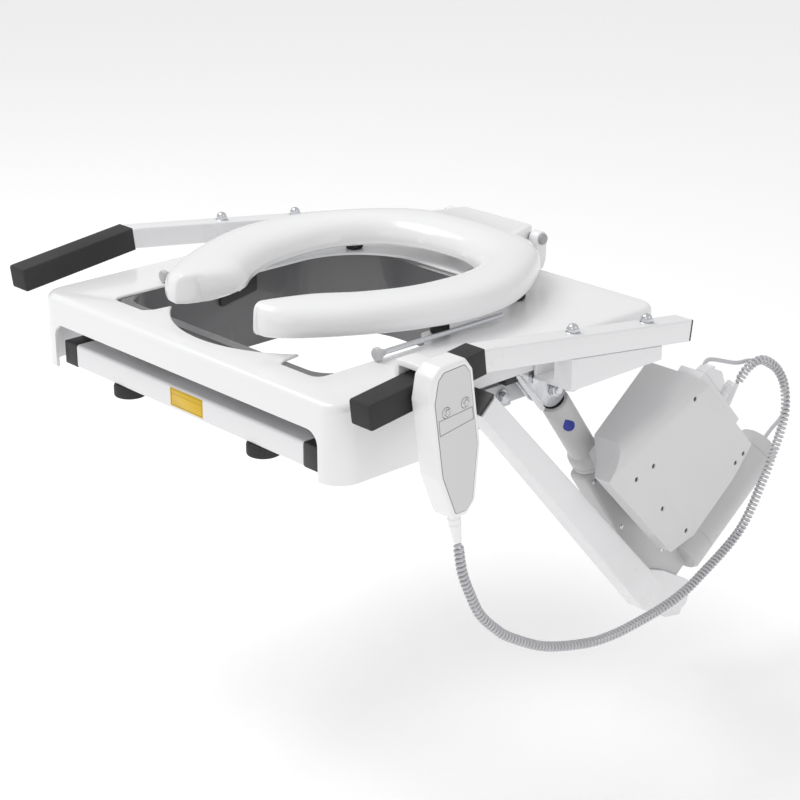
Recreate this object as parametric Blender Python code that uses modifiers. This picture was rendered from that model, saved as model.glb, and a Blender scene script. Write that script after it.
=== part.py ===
"""Powered tilting seat lift for a toilet: a base bolted to the bowl, a seat frame that tips forward on it,
an open-front seat ring, a linear actuator with its control box, and a wired handset."""

from math import atan2, cos, pi, radians, sin, sqrt

import bmesh
import bpy
from mathutils import Matrix, Vector

# Driving dimensions, metres. X is across, -Y is the front, Z = 0 is the top of the toilet's rim.
GAP = 0.0003  # between pieces that touch
TUBE_W = 0.030
TUBE_H = 0.028
TUBE_WALL = 0.0018

BASE_WIDTH = 0.455  # front crossbar, over its end caps
BASE_FRONT = -0.455
BASE_BOTTOM = 0.014
RAIL_X = 0.2055  # centre of a base side rail
BASE_REAR = -0.020
PAD_X = 0.120
PAD_RADIUS = 0.019
PLATE_WIDTH = 0.260
PLATE_FRONT = -0.045
PLATE_REAR = 0.045
PLATE_THICK = 0.005
SEAT_BOLT_X = 0.070
SEAT_BOLT_Y = 0.012
SEAT_BOLT_R = 0.004
SLOT_HALF = 0.015

PIVOT_Y = -0.413
PIVOT_Z = BASE_BOTTOM + TUBE_H / 2
PIVOT_R = 0.005

SHELL_HALF = 0.265
SHELL_FRONT = -0.463
SHELL_REAR = 0.033
SHELL_TOP = 0.096
SHELL_SKIN = 0.003
SHELL_WALL = 0.004
APRON_BOTTOM = 0.009
APRON_END = -0.318
LIP_DEPTH = 0.014
SHELL_CORNER = 0.028
ARCH_HALF = 0.234
ARCH_TOP = 0.063
ARCH_CORNER = 0.016
OPENING_HALF = 0.181
OPENING_FRONT = -0.416
OPENING_REAR = -0.055
OPENING_STEP = -0.262  # behind this the opening narrows under the ring
OPENING_BACK_HALF = 0.150
OPENING_BACK_ROUND = 0.100
HORN_X = 0.112
HORN_Y = -0.383
HORN_ARC = 0.160

LIFT_RAIL_X = 0.245
LIFT_FRONT = -0.435
LIFT_REAR = 0.006
LIFT_RAIL_TOP = SHELL_TOP - SHELL_SKIN - 2 * GAP
EAR_THICK = 0.005

ARM_X = 0.302
GRIP_FRONT = Vector((0.0, -0.466, 0.102))  # centre of the grip's front face
ARM_KNEE = Vector((0.0, -0.305, 0.122))
ARM_END = Vector((0.0, 0.025, 0.077))
GRIP_WALL = 0.0012
ARM_BOLT_Y = (-0.160, -0.038)
ARM_BOLT_R = 0.004

RING_BOTTOM = 0.112
RING_TOP = 0.147
HINGE_Y = 0.028
RING_HINGE_Z = 0.134
RING_PIN_R = 0.004
BUMPER_R = 0.011

LEG_INNER = 0.262
LEG_OUTER = 0.290
LEG_OUTLINE = ((-0.264, 0.066), (0.032, -0.253), (0.021, -0.280), (-0.002, -0.276), (-0.284, 0.048))

ACT_X = 0.242
CLEVIS = Vector((0.0, -0.136, 0.032))  # top pin of the actuator
FOOT = Vector((0.0, 0.101, -0.302))  # bottom pin of the actuator
ACT_TUBE_R = 0.0172
ACT_ROD_R = 0.010
EYE_PLAY = 0.0095  # room across the rod for the pin in its eye
PIN_R = 0.005
CHEEK_THICK = 0.004
EYE_HALF = 0.008
BODY_HALF = 0.015
MOTOR_R = 0.028
MOTOR_X = 0.250
MOTOR_FAR = 0.372  # along the actuator to the motor's axis
MOTOR_REACH = 0.222

BOX_INNER = 0.2675
BOX_BACK = 0.2400  # the part of the box beside the tube
BOX_OUTER = 0.325

HANDSET_BACK = 0.3205
HANDSET_FACE = 0.350
HANDSET_TOP = (-0.385, 0.150)
BUTTON_R = 0.0055

CORD_R = 0.006
CABLE_R = 0.0025

MATERIALS = {
    "white_paint": ((0.84, 0.84, 0.85), 0.30, 0.0),
    "white_plastic": ((0.88, 0.88, 0.89), 0.15, 0.0),
    "grey_plastic": ((0.62, 0.61, 0.62), 0.40, 0.0),
    "pale_grey": ((0.72, 0.71, 0.72), 0.38, 0.0),
    "black_plastic": ((0.02, 0.02, 0.02), 0.45, 0.0),
    "black_rubber": ((0.03, 0.03, 0.03), 0.80, 0.0),
    "zinc": ((0.75, 0.75, 0.77), 0.22, 1.0),
    "guard_grey": ((0.22, 0.21, 0.22), 0.25, 0.0),
    "grey_cord": ((0.68, 0.68, 0.70), 0.45, 0.0),
}

for old in list(bpy.data.objects):
    bpy.data.objects.remove(old, do_unlink=True)

PARTS = bpy.data.collections.new("toilet_seat_lift")
CUTTERS = bpy.data.collections.new("cutters")
for group in (PARTS, CUTTERS):
    bpy.context.scene.collection.children.link(group)


def finish_of(name):
    """The named material, made on first use."""
    if name in bpy.data.materials:
        return bpy.data.materials[name]
    colour, rough, metal = MATERIALS[name]
    material = bpy.data.materials.new(name)
    material.use_nodes = True
    shader = material.node_tree.nodes["Principled BSDF"]
    shader.inputs["Base Color"].default_value = (*colour, 1.0)
    shader.inputs["Roughness"].default_value = rough
    shader.inputs["Metallic"].default_value = metal
    return material


def add(name, mesh, finish=None):
    """Puts a mesh in the scene: a sub-part where it has a finish, else a cutter."""
    obj = bpy.data.objects.new(name, mesh)
    if finish is None:
        CUTTERS.objects.link(obj)
        obj.hide_render = True
        obj.display_type = "WIRE"
        return obj
    PARTS.objects.link(obj)
    mesh.materials.append(finish_of(finish))
    mesh.shade_smooth()
    mesh.set_sharp_from_angle(angle=radians(35))
    return obj


def mesh_of(name, bm):
    bmesh.ops.recalc_face_normals(bm, faces=bm.faces)
    mesh = bpy.data.meshes.new(name)
    bm.to_mesh(mesh)
    bm.free()
    return mesh


def box(name, low, high, finish=None, round_by=0.0):
    """A box between two corners, its edges rounded where round_by is given."""
    bm = bmesh.new()
    bmesh.ops.create_cube(bm, size=1.0)
    low, high = Vector(low), Vector(high)
    size = high - low
    bmesh.ops.scale(bm, vec=size, verts=bm.verts)
    bmesh.ops.translate(bm, vec=(low + high) / 2, verts=bm.verts)
    if round_by:
        bmesh.ops.bevel(bm, geom=bm.edges[:], offset=round_by, segments=2, profile=0.5, affect="EDGES")
    return add(name, mesh_of(name, bm), finish)


def aimed(obj, start, end):
    """Stands the object on start with its own Z towards end."""
    start, end = Vector(start), Vector(end)
    obj.location = start
    obj.rotation_mode = "QUATERNION"
    obj.rotation_quaternion = (end - start).to_track_quat("Z", "Y")
    return obj


def turned(name, start, end, profile, finish=None, sides=20):
    """A piece turned round the line from start to end: profile holds (distance along, radius) pairs."""
    bm = bmesh.new()
    drawn = [(profile[0][0], 0.0)] + list(profile) + [(profile[-1][0], 0.0)]
    points = [bm.verts.new((radius, 0.0, far)) for far, radius in drawn[::-1]]
    for a, b in zip(points, points[1:]):
        bm.edges.new((a, b))
    mesh = bpy.data.meshes.new(name)
    bm.to_mesh(mesh)
    bm.free()
    obj = aimed(add(name, mesh, finish), start, end)
    turn = obj.modifiers.new("turn", "SCREW")
    turn.steps = sides
    turn.render_steps = sides
    turn.use_merge_vertices = True
    turn.merge_threshold = 0.00001
    return obj


def rod(name, start, end, radius, finish=None, sides=20):
    """A plain cylinder from start to end."""
    length = (Vector(end) - Vector(start)).length
    bm = bmesh.new()
    bmesh.ops.create_cone(bm, cap_ends=True, segments=sides, radius1=radius, radius2=radius, depth=length)
    bmesh.ops.translate(bm, vec=(0.0, 0.0, length / 2), verts=bm.verts)
    return aimed(add(name, mesh_of(name, bm), finish), start, end)


def slab(name, outline, axis, low, high, finish=None, round_by=0.0):
    """A flat outline drawn across one axis and thickened along it from low to high."""
    curve = bpy.data.curves.new(name, "CURVE")
    curve.dimensions = "2D"
    curve.fill_mode = "BOTH"
    curve.extrude = (high - low) / 2
    spline = curve.splines.new("POLY")
    spline.points.add(len(outline) - 1)
    for point, (u, v) in zip(spline.points, outline):
        point.co = (u, v, 0.0, 1.0)
    spline.use_cyclic_u = True
    drawn = bpy.data.objects.new(name + "_outline", curve)
    CUTTERS.objects.link(drawn)
    bpy.context.view_layer.update()
    mesh = bpy.data.meshes.new_from_object(drawn.evaluated_get(bpy.context.evaluated_depsgraph_get()))
    bpy.data.objects.remove(drawn, do_unlink=True)
    middle = (low + high) / 2
    frames = {
        "X": Matrix(((0, 0, 1, middle), (1, 0, 0, 0), (0, 1, 0, 0), (0, 0, 0, 1))),
        "Y": Matrix(((1, 0, 0, 0), (0, 0, 1, middle), (0, 1, 0, 0), (0, 0, 0, 1))),
        "Z": Matrix(((1, 0, 0, 0), (0, 1, 0, 0), (0, 0, 1, middle), (0, 0, 0, 1))),
    }
    bm = bmesh.new()
    bm.from_mesh(mesh)
    bmesh.ops.remove_doubles(bm, verts=bm.verts, dist=0.00001)
    bmesh.ops.transform(bm, matrix=frames[axis], verts=bm.verts)
    bmesh.ops.dissolve_limit(bm, angle_limit=0.01, verts=bm.verts, edges=bm.edges)
    if round_by:
        bmesh.ops.recalc_face_normals(bm, faces=bm.faces)
        flat = [f for f in bm.faces if f.normal["XYZ".index(axis)] > 0.9]
        rim = {e for f in flat for e in f.edges}
        bmesh.ops.bevel(bm, geom=list(rim), offset=round_by, segments=3, profile=0.5, affect="EDGES")
    return add(name, mesh_of(name, bm), finish)


def combine(obj, other, operation):
    modifier = obj.modifiers.new(operation.lower(), "BOOLEAN")
    modifier.operation = operation
    modifier.object = other
    modifier.solver = "EXACT"


def cut(obj, *cutters):
    for cutter in cutters:
        combine(obj, cutter, "DIFFERENCE")


def join(obj, *others):
    for other in others:
        combine(obj, other, "UNION")


def arc(centre, radius, start, end, steps):
    """Points on an arc between two angles in degrees."""
    points = []
    for k in range(steps + 1):
        angle = radians(start + (end - start) * k / steps)
        points.append((centre[0] + radius * cos(angle), centre[1] + radius * sin(angle)))
    return points


def rounded(u0, u1, v0, v1, radius, steps=4):
    """A rectangle with round corners."""
    return (
        arc((u1 - radius, v1 - radius), radius, 0, 90, steps)
        + arc((u0 + radius, v1 - radius), radius, 90, 180, steps)
        + arc((u0 + radius, v0 + radius), radius, 180, 270, steps)
        + arc((u1 - radius, v0 + radius), radius, 270, 360, steps)
    )


def along(start, end, far, out=0.0):
    """A point in the X = 0 plane, far along start-end and out to its upper right."""
    way = (end - start).normalized()
    side = Vector((0.0, -way.z, way.y))
    return start + way * far + side * out


def smooth_path(route, count):
    """Evenly spaced points on a Catmull-Rom curve through the route's points."""
    route = [Vector(p) for p in route]
    ends = [route[0] * 2 - route[1]] + route + [route[-1] * 2 - route[-2]]
    fine = []
    for a, b, c, d in zip(ends, ends[1:], ends[2:], ends[3:]):
        for k in range(12):
            t = k / 12
            fine.append(
                (b * 2 + (c - a) * t + (a * 2 - b * 5 + c * 4 - d) * t**2 + (b * 3 - a - c * 3 + d) * t**3)
                / 2
            )
    fine.append(route[-1])
    lengths = [0.0]
    for a, b in zip(fine, fine[1:]):
        lengths.append(lengths[-1] + (b - a).length)
    points = []
    k = 0
    for n in range(count):
        want = lengths[-1] * n / (count - 1)
        while k < len(lengths) - 2 and lengths[k + 1] < want:
            k += 1
        share = (want - lengths[k]) / (lengths[k + 1] - lengths[k])
        points.append(fine[k].lerp(fine[k + 1], min(share, 1.0)))
    return points


def cord(name, points, radius, finish="grey_cord"):
    """A round cord through closely spaced points."""
    curve = bpy.data.curves.new(name, "CURVE")
    curve.dimensions = "3D"
    curve.bevel_depth = radius
    curve.bevel_resolution = 2
    curve.use_fill_caps = True
    spline = curve.splines.new("POLY")
    spline.points.add(len(points) - 1)
    for point, place in zip(spline.points, points):
        point.co = (*place, 1.0)
    obj = bpy.data.objects.new(name, curve)
    curve.materials.append(finish_of(finish))
    PARTS.objects.link(obj)
    return obj


def square_tube(name, low, high, axis, finish):
    """A hollow square tube along X or Y."""
    tube = box(name, low, high, finish)
    inner_low, inner_high = Vector(low), Vector(high)
    for k in range(3):
        out = 0.01 if k == "XYZ".index(axis) else -TUBE_WALL
        inner_low[k] -= out
        inner_high[k] += out
    cut(tube, box(name + "_hollow", inner_low, inner_high))
    return tube


def mirrored(side):
    return -1 if side == "left" else 1


def span(side, a, b):
    """The X range between a and b from the middle, on either side."""
    sign = mirrored(side)
    return min(sign * a, sign * b), max(sign * a, sign * b)


def hex_bolt(name, place, length, radius, finish="zinc", head=0.004, dome=True):
    """A bolt along Z with a domed cap nut above place and a shank down from it."""
    top = radius * 2.1
    profile = [(0.0, radius), (length, radius), (length, top), (length + head, top)]
    if dome:
        profile += [(length + head + top * 0.55, top * 0.8), (length + head + top * 0.85, top * 0.35)]
    start = Vector(place) - Vector((0, 0, length))
    return turned(name, start, Vector(place), profile, finish, 16)


# Base: a front crossbar, two side rails and a rear bar over a plate that takes the toilet's own seat bolts.
BAR_CAP = 0.025
BASE_TOP = BASE_BOTTOM + TUBE_H
BAR_HALF = BASE_WIDTH / 2 - BAR_CAP - GAP
BAR_BACK = BASE_FRONT + TUBE_W
square_tube(
    "front_crossbar",
    (-BAR_HALF, BASE_FRONT, BASE_BOTTOM),
    (BAR_HALF, BAR_BACK, BASE_TOP),
    "X",
    "white_paint",
)
for side in ("left", "right"):
    x0, x1 = span(side, BAR_HALF + GAP, BASE_WIDTH / 2)
    cap = box(
        "crossbar_cap_" + side,
        (x0, BASE_FRONT, BASE_BOTTOM),
        (x1, BAR_BACK, BASE_TOP),
        "black_plastic",
        0.0008,
    )
    x0, x1 = span(side, BAR_HALF - 0.014, BAR_HALF + 0.001)
    inset = TUBE_WALL + GAP
    plug = box(
        "cap_plug_" + side,
        (x0, BASE_FRONT + inset, BASE_BOTTOM + inset),
        (x1, BAR_BACK - inset, BASE_TOP - inset),
    )
    join(cap, plug)
    x0, x1 = span(side, RAIL_X - TUBE_W / 2, RAIL_X + TUBE_W / 2)
    rail = square_tube(
        "base_rail_" + side,
        (x0, BAR_BACK + GAP, BASE_BOTTOM),
        (x1, BASE_REAR, BASE_TOP),
        "Y",
        "white_paint",
    )
    x0, x1 = span(side, RAIL_X - 0.05, RAIL_X + 0.05)
    bore = rod(
        "pivot_bore_" + side,
        (x0, PIVOT_Y, PIVOT_Z),
        (x1, PIVOT_Y, PIVOT_Z),
        PIVOT_R + GAP,
        sides=16,
    )
    cut(rail, bore)
REAR_BAR_HALF = RAIL_X - TUBE_W / 2 - GAP
square_tube(
    "rear_bar",
    (-REAR_BAR_HALF, BASE_REAR - TUBE_W, BASE_BOTTOM),
    (REAR_BAR_HALF, BASE_REAR, BASE_TOP),
    "X",
    "white_paint",
)

PLATE_TOP = BASE_BOTTOM - GAP
PLATE_BOTTOM = PLATE_TOP - PLATE_THICK
REAR_OUTLINE = rounded(-PLATE_WIDTH / 2, PLATE_WIDTH / 2, PLATE_FRONT, PLATE_REAR, 0.012)
plate = slab("rear_plate", REAR_OUTLINE, "Z", PLATE_BOTTOM, PLATE_TOP, "zinc")
pad = slab("rear_pad", REAR_OUTLINE, "Z", 0.0, PLATE_BOTTOM - GAP, "black_rubber")
for side in ("left", "right"):
    x = mirrored(side) * SEAT_BOLT_X
    reach = SEAT_BOLT_R + 0.0015
    slot = slab(
        "bolt_slot_" + side,
        rounded(x - SLOT_HALF, x + SLOT_HALF, SEAT_BOLT_Y - reach, SEAT_BOLT_Y + reach, reach - 0.0001),
        "Z",
        -0.01,
        BASE_BOTTOM + 0.01,
    )
    cut(plate, slot)
    cut(pad, slot)
    turned(
        "seat_bolt_" + side,
        (x, SEAT_BOLT_Y, -0.050),
        (x, SEAT_BOLT_Y, 0.0),
        (
            (0.0, SEAT_BOLT_R),
            (0.004, SEAT_BOLT_R),
            (0.004, 0.013),
            (0.012, 0.011),
            (0.012, SEAT_BOLT_R),
            (0.050 + PLATE_TOP + GAP, SEAT_BOLT_R),
            (0.050 + PLATE_TOP + GAP, 0.0095),
            (0.050 + PLATE_TOP + 0.0025, 0.0095),
            (0.050 + PLATE_TOP + 0.0055, 0.005),
        ),
        "zinc",
        16,
    )
    pad_y = (BASE_FRONT + BAR_BACK) / 2
    rod(
        "rim_pad_" + side,
        (mirrored(side) * PAD_X, pad_y, 0.0),
        (mirrored(side) * PAD_X, pad_y, BASE_BOTTOM - GAP),
        PAD_RADIUS,
        "black_rubber",
        24,
    )

# Leg: a square tube down the right side that carries the foot of the actuator.
leg = slab("leg_tube", LEG_OUTLINE, "X", LEG_INNER, LEG_OUTER, "white_paint")
LEG_TOP = Vector(
    (0.0, (LEG_OUTLINE[0][0] + LEG_OUTLINE[4][0]) / 2, (LEG_OUTLINE[0][1] + LEG_OUTLINE[4][1]) / 2)
)
leg_run = Vector(LEG_OUTLINE[1]) - Vector(LEG_OUTLINE[0])
LEG_WAY = Vector((0.0, leg_run.x, leg_run.y)).normalized()
LEG_SIDE = Vector((0.0, -LEG_WAY.z, LEG_WAY.y))
LEG_HEIGHT = (Vector((0.0, *LEG_OUTLINE[0])) - Vector((0.0, *LEG_OUTLINE[4]))).length


def leg_block(name, start, end, inset, low, high, finish=None, grow=0.0):
    """A block in line with the leg, from start to end along it."""
    half = LEG_HEIGHT / 2 - inset + grow
    corners = []
    for far, out in ((start, half), (end, half), (end, -half), (start, -half)):
        point = LEG_TOP + LEG_WAY * far + LEG_SIDE * out
        corners.append((point.y, point.z))
    return slab(name, corners, "X", low, high, finish)


cut(leg, leg_block("leg_hollow", -0.02, 0.398, TUBE_WALL, LEG_INNER + TUBE_WALL, LEG_OUTER - TUBE_WALL))
leg_cap = leg_block("leg_cap", -0.005, -0.002, 0.0, LEG_INNER, LEG_OUTER, "black_plastic")
join(
    leg_cap,
    leg_block("leg_cap_plug", -0.003, 0.014, TUBE_WALL + 0.001, LEG_INNER + 0.0028, LEG_OUTER - 0.0028),
)
BRACKET_Y = (-0.250, -0.172)
BRACKET_IN = RAIL_X + TUBE_W / 2 + GAP
bracket = box(
    "leg_bracket",
    (BRACKET_IN, BRACKET_Y[0], BASE_BOTTOM),
    (BRACKET_IN + 0.004, BRACKET_Y[1], BASE_TOP),
    "white_paint",
)
join(
    bracket,
    slab(
        "bracket_arm",
        ((-0.2500, 0.040), (-0.2250, 0.018), (-0.2250, BASE_BOTTOM), (-0.2500, BASE_BOTTOM)),
        "X",
        BRACKET_IN + 0.002,
        LEG_INNER - GAP,
    ),
)
turned(
    "bracket_bolt",
    (RAIL_X + 0.004, -0.188, PIVOT_Z),
    (LEG_INNER, -0.188, PIVOT_Z),
    ((0.0, 0.004), (BRACKET_IN + 0.004 + GAP - RAIL_X - 0.004, 0.004), (
        BRACKET_IN + 0.004 + GAP - RAIL_X - 0.004, 0.009
    ),
     (BRACKET_IN + 0.0065 - RAIL_X - 0.004, 0.009), (BRACKET_IN + 0.0065 - RAIL_X - 0.004, 0.0062),
     (BRACKET_IN + 0.0125 - RAIL_X - 0.004, 0.0062)),
    "zinc",
    12,
)
BRACKET_BORE = rod(
    "bracket_bore",
    (RAIL_X, -0.188, PIVOT_Z),
    (LEG_INNER, -0.188, PIVOT_Z),
    0.004 + GAP,
    sides=12,
)
cut(bracket, BRACKET_BORE)
cut(bpy.data.objects["base_rail_right"], BRACKET_BORE)

FOOT_IN = ACT_X - BODY_HALF - GAP
FOOT_OUT = ACT_X + BODY_HALF + GAP
foot_outline = (
    (0.0, -0.246), (0.030, -0.242), (0.068, -0.257), (0.116, -0.285), (0.121, -0.300), (0.114, -0.318),
    (0.100, -0.323), (0.060, -0.316), (0.004, -0.280),
)
foot = slab("foot_bracket", foot_outline, "X", FOOT_OUT, LEG_INNER - GAP, "white_paint")
cheek = slab("foot_cheek", foot_outline[3:8] + ((0.075, -0.305),), "X", FOOT_IN - CHEEK_THICK, FOOT_IN)
web = slab(
    "foot_web",
    ((0.076, -0.324), (0.104, -0.330), (0.108, -0.3225), (0.076, -0.3165)),
    "X",
    FOOT_IN - CHEEK_THICK,
    LEG_INNER - 0.004,
)
FOOT_PIN_ENDS = (FOOT_IN - CHEEK_THICK - 0.004, LEG_INNER - 0.001)
for piece in (cheek, web):
    join(foot, piece)
cut(foot, rod("foot_bore", (0.2, FOOT.y, FOOT.z), (0.3, FOOT.y, FOOT.z), PIN_R + GAP, sides=16))
turned(
    "foot_pin",
    (FOOT_PIN_ENDS[0], FOOT.y, FOOT.z),
    (FOOT_PIN_ENDS[1], FOOT.y, FOOT.z),
    ((0.0, 0.008), (0.0037, 0.008), (0.0037, PIN_R), (FOOT_PIN_ENDS[1] + 0.003 - FOOT_PIN_ENDS[0], PIN_R)),
    "zinc",
    16,
)

# Lift frame: two rails hinged near the front, a cross member, and the moulded seat shell over them.
RAIL_IN = LIFT_RAIL_X - TUBE_H / 2
RAIL_OUT = LIFT_RAIL_X + TUBE_H / 2
LIFT_RAIL_BOTTOM = LIFT_RAIL_TOP - TUBE_H
EAR_IN = BASE_WIDTH / 2 + GAP
for side in ("left", "right"):
    x0, x1 = span(side, RAIL_IN, RAIL_OUT)
    rail = square_tube(
        "lift_rail_" + side,
        (x0, LIFT_FRONT, LIFT_RAIL_BOTTOM),
        (x1, LIFT_REAR, LIFT_RAIL_TOP),
        "Y",
        "white_paint",
    )
    x0, x1 = span(side, EAR_IN, EAR_IN + EAR_THICK)
    ear = slab(
        "lift_ear_" + side,
        ((-0.433, LIFT_RAIL_TOP - 0.001),) + tuple(arc((PIVOT_Y, PIVOT_Z), 0.014, 200, 340, 8))
        + ((-0.385, LIFT_RAIL_TOP - 0.001),),
        "X",
        x0,
        x1,
    )
    join(rail, ear)
    cut(rail, bpy.data.objects["pivot_bore_" + side])
    sign = mirrored(side)
    pin_in = RAIL_X - TUBE_W / 2 - 0.006
    turned(
        "pivot_bolt_" + side,
        (sign * pin_in, PIVOT_Y, PIVOT_Z),
        (sign * SHELL_HALF, PIVOT_Y, PIVOT_Z),
        (
            (0.0, 0.009),
            (0.0057, 0.009),
            (0.0057, PIVOT_R),
            (RAIL_X + TUBE_W / 2 + GAP - pin_in, PIVOT_R),
            (RAIL_X + TUBE_W / 2 + GAP - pin_in, 0.0085),
            (EAR_IN - GAP - pin_in, 0.0085),
            (EAR_IN - GAP - pin_in, PIVOT_R),
            (EAR_IN + EAR_THICK + GAP - pin_in, PIVOT_R),
            (EAR_IN + EAR_THICK + GAP - pin_in, 0.009),
            (EAR_IN + EAR_THICK + 0.007 - pin_in, 0.008),
        ),
        "zinc",
        16,
    )
CROSS_HALF = RAIL_IN - GAP
square_tube(
    "lift_cross_bar",
    (-CROSS_HALF, LIFT_REAR - 0.030, LIFT_RAIL_BOTTOM),
    (CROSS_HALF, LIFT_REAR, LIFT_RAIL_TOP),
    "X",
    "white_paint",
)

shell = slab(
    "seat_shell",
    rounded(-SHELL_HALF, SHELL_HALF, SHELL_FRONT, SHELL_REAR, SHELL_CORNER, 6),
    "Z",
    APRON_BOTTOM,
    SHELL_TOP,
    "white_plastic",
    0.007,
)
hollow = slab(
    "shell_hollow",
    rounded(
        -SHELL_HALF + SHELL_WALL,
        SHELL_HALF - SHELL_WALL,
        SHELL_FRONT + SHELL_WALL,
        SHELL_REAR - SHELL_WALL,
        SHELL_CORNER - SHELL_WALL,
        6,
    ),
    "Z",
    APRON_BOTTOM - 0.02,
    SHELL_TOP - SHELL_SKIN,
    None,
    0.003,
)
LIP_BOTTOM = SHELL_TOP - LIP_DEPTH
side_cut = slab(
    "side_cut",
    (
        (APRON_END, APRON_BOTTOM - 0.02),
        (APRON_END + 0.002, 0.030),
        (APRON_END + 0.008, LIP_BOTTOM - 0.012),
        (APRON_END + 0.020, LIP_BOTTOM),
        (SHELL_REAR + 0.02, LIP_BOTTOM),
        (SHELL_REAR + 0.02, APRON_BOTTOM - 0.02),
    ),
    "X",
    -SHELL_HALF - 0.02,
    SHELL_HALF + 0.02,
)
arch = slab(
    "front_arch",
    arc((ARCH_HALF - ARCH_CORNER, ARCH_TOP - ARCH_CORNER), ARCH_CORNER, 0, 90, 5)
    + arc((-ARCH_HALF + ARCH_CORNER, ARCH_TOP - ARCH_CORNER), ARCH_CORNER, 90, 180, 5)
    + [(-ARCH_HALF, APRON_BOTTOM - 0.03), (ARCH_HALF, APRON_BOTTOM - 0.03)],
    "Y",
    SHELL_FRONT - 0.02,
    SHELL_FRONT + 0.03,
)
horn_angle = 90 - atan2(HORN_X, sqrt(HORN_ARC**2 - HORN_X**2)) * 180 / pi
horn_centre = HORN_Y + sqrt(HORN_ARC**2 - HORN_X**2)
front_curve = arc((0.0, horn_centre), HORN_ARC, 180 + horn_angle, 360 - horn_angle, 14)
back_middle = OPENING_BACK_HALF - OPENING_BACK_ROUND
opening_outline = (
    [
        (-OPENING_HALF, OPENING_FRONT),
        (-HORN_X - 0.010, OPENING_FRONT),
        (-HORN_X - 0.004, OPENING_FRONT + 0.010),
    ]
    + front_curve
    + [
        (HORN_X + 0.004, OPENING_FRONT + 0.010),
        (HORN_X + 0.010, OPENING_FRONT),
        (OPENING_HALF, OPENING_FRONT),
    ]
    + [(OPENING_HALF, OPENING_STEP), (OPENING_BACK_HALF, OPENING_STEP + 0.022)]
    + arc((back_middle, OPENING_REAR - OPENING_BACK_ROUND), OPENING_BACK_ROUND, 0, 90, 8)
    + arc((-back_middle, OPENING_REAR - OPENING_BACK_ROUND), OPENING_BACK_ROUND, 90, 180, 8)
    + [(-OPENING_BACK_HALF, OPENING_STEP + 0.022), (-OPENING_HALF, OPENING_STEP)]
)
opening = slab("seat_opening", opening_outline, "Z", 0.05, SHELL_TOP + 0.02)
cut(shell, hollow, side_cut, arch, opening)

# Splash guard: an open skirt that hangs below the opening from a flange under the shell.
GUARD_HALF = 0.184
GUARD_FRONT = -0.404
GUARD_REAR = OPENING_REAR - 0.004
GUARD_TOP = SHELL_TOP - SHELL_SKIN - GAP
GUARD_BOTTOM = -0.012
GUARD_WALL = 0.003
GUARD_FLANGE = 0.012


def guard_outline(grow):
    """The guard seen from above: nearly square at the front and rounder at the rear."""
    half = GUARD_HALF + grow
    front = GUARD_FRONT - grow
    rear = GUARD_REAR + grow
    near, back = 0.035 + grow, 0.110 + grow
    return (
        arc((half - near, front + near), near, 270, 360, 5)
        + arc((half - back, rear - back), back, 0, 90, 8)
        + arc((-half + back, rear - back), back, 90, 180, 8)
        + arc((-half + near, front + near), near, 180, 270, 5)
    )


guard = slab("splash_guard", guard_outline(GUARD_FLANGE), "Z", GUARD_TOP - 0.003, GUARD_TOP, "guard_grey")
join(guard, slab("guard_skirt", guard_outline(0.0), "Z", GUARD_BOTTOM, GUARD_TOP - 0.001))
cut(guard, slab("guard_hollow", guard_outline(-GUARD_WALL), "Z", GUARD_BOTTOM - 0.01, GUARD_TOP + 0.01))
ROD_Y = (-0.335, -0.150)
ROD_Z = 0.104
for side in ("left", "right"):
    x = mirrored(side) * 0.187
    turned(
        "guard_rod_" + side,
        (x, ROD_Y[0] - 0.006, ROD_Z),
        (x, ROD_Y[1], ROD_Z),
        (
            (0.0, 0.0072),
            (0.001, 0.0077),
            (0.0055, 0.0077),
            (0.006, 0.004),
            (0.012, 0.003),
            (ROD_Y[1] - ROD_Y[0] + 0.006, 0.003),
        ),
        "zinc",
        14,
    )

# Armrests: bent tubes along each side with square grips, each on a bracket with two domed bolts.
ARM_SLOPE = (ARM_END - ARM_KNEE).normalized()
GRIP_SLOPE = (ARM_KNEE - GRIP_FRONT).normalized()


def bent(half, start, end):
    """The outline of the arm in side view, half its height either side of its centre line."""
    up_grip = Vector((0.0, -GRIP_SLOPE.z, GRIP_SLOPE.y)) * half
    up_arm = Vector((0.0, -ARM_SLOPE.z, ARM_SLOPE.y)) * half
    up_knee = (up_grip + up_arm) / 2
    knee_push = up_knee * (half / up_knee.length)
    points = [
        start + up_grip,
        ARM_KNEE + knee_push,
        end + up_arm,
        end - up_arm,
        ARM_KNEE - knee_push,
        start - up_grip,
    ]
    return [(p.y, p.z) for p in points]


def straight(half, start, end):
    way = (end - start).normalized()
    up = Vector((0.0, -way.z, way.y)) * half
    return [(p.y, p.z) for p in (start + up, end + up, end - up, start - up)]


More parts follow.
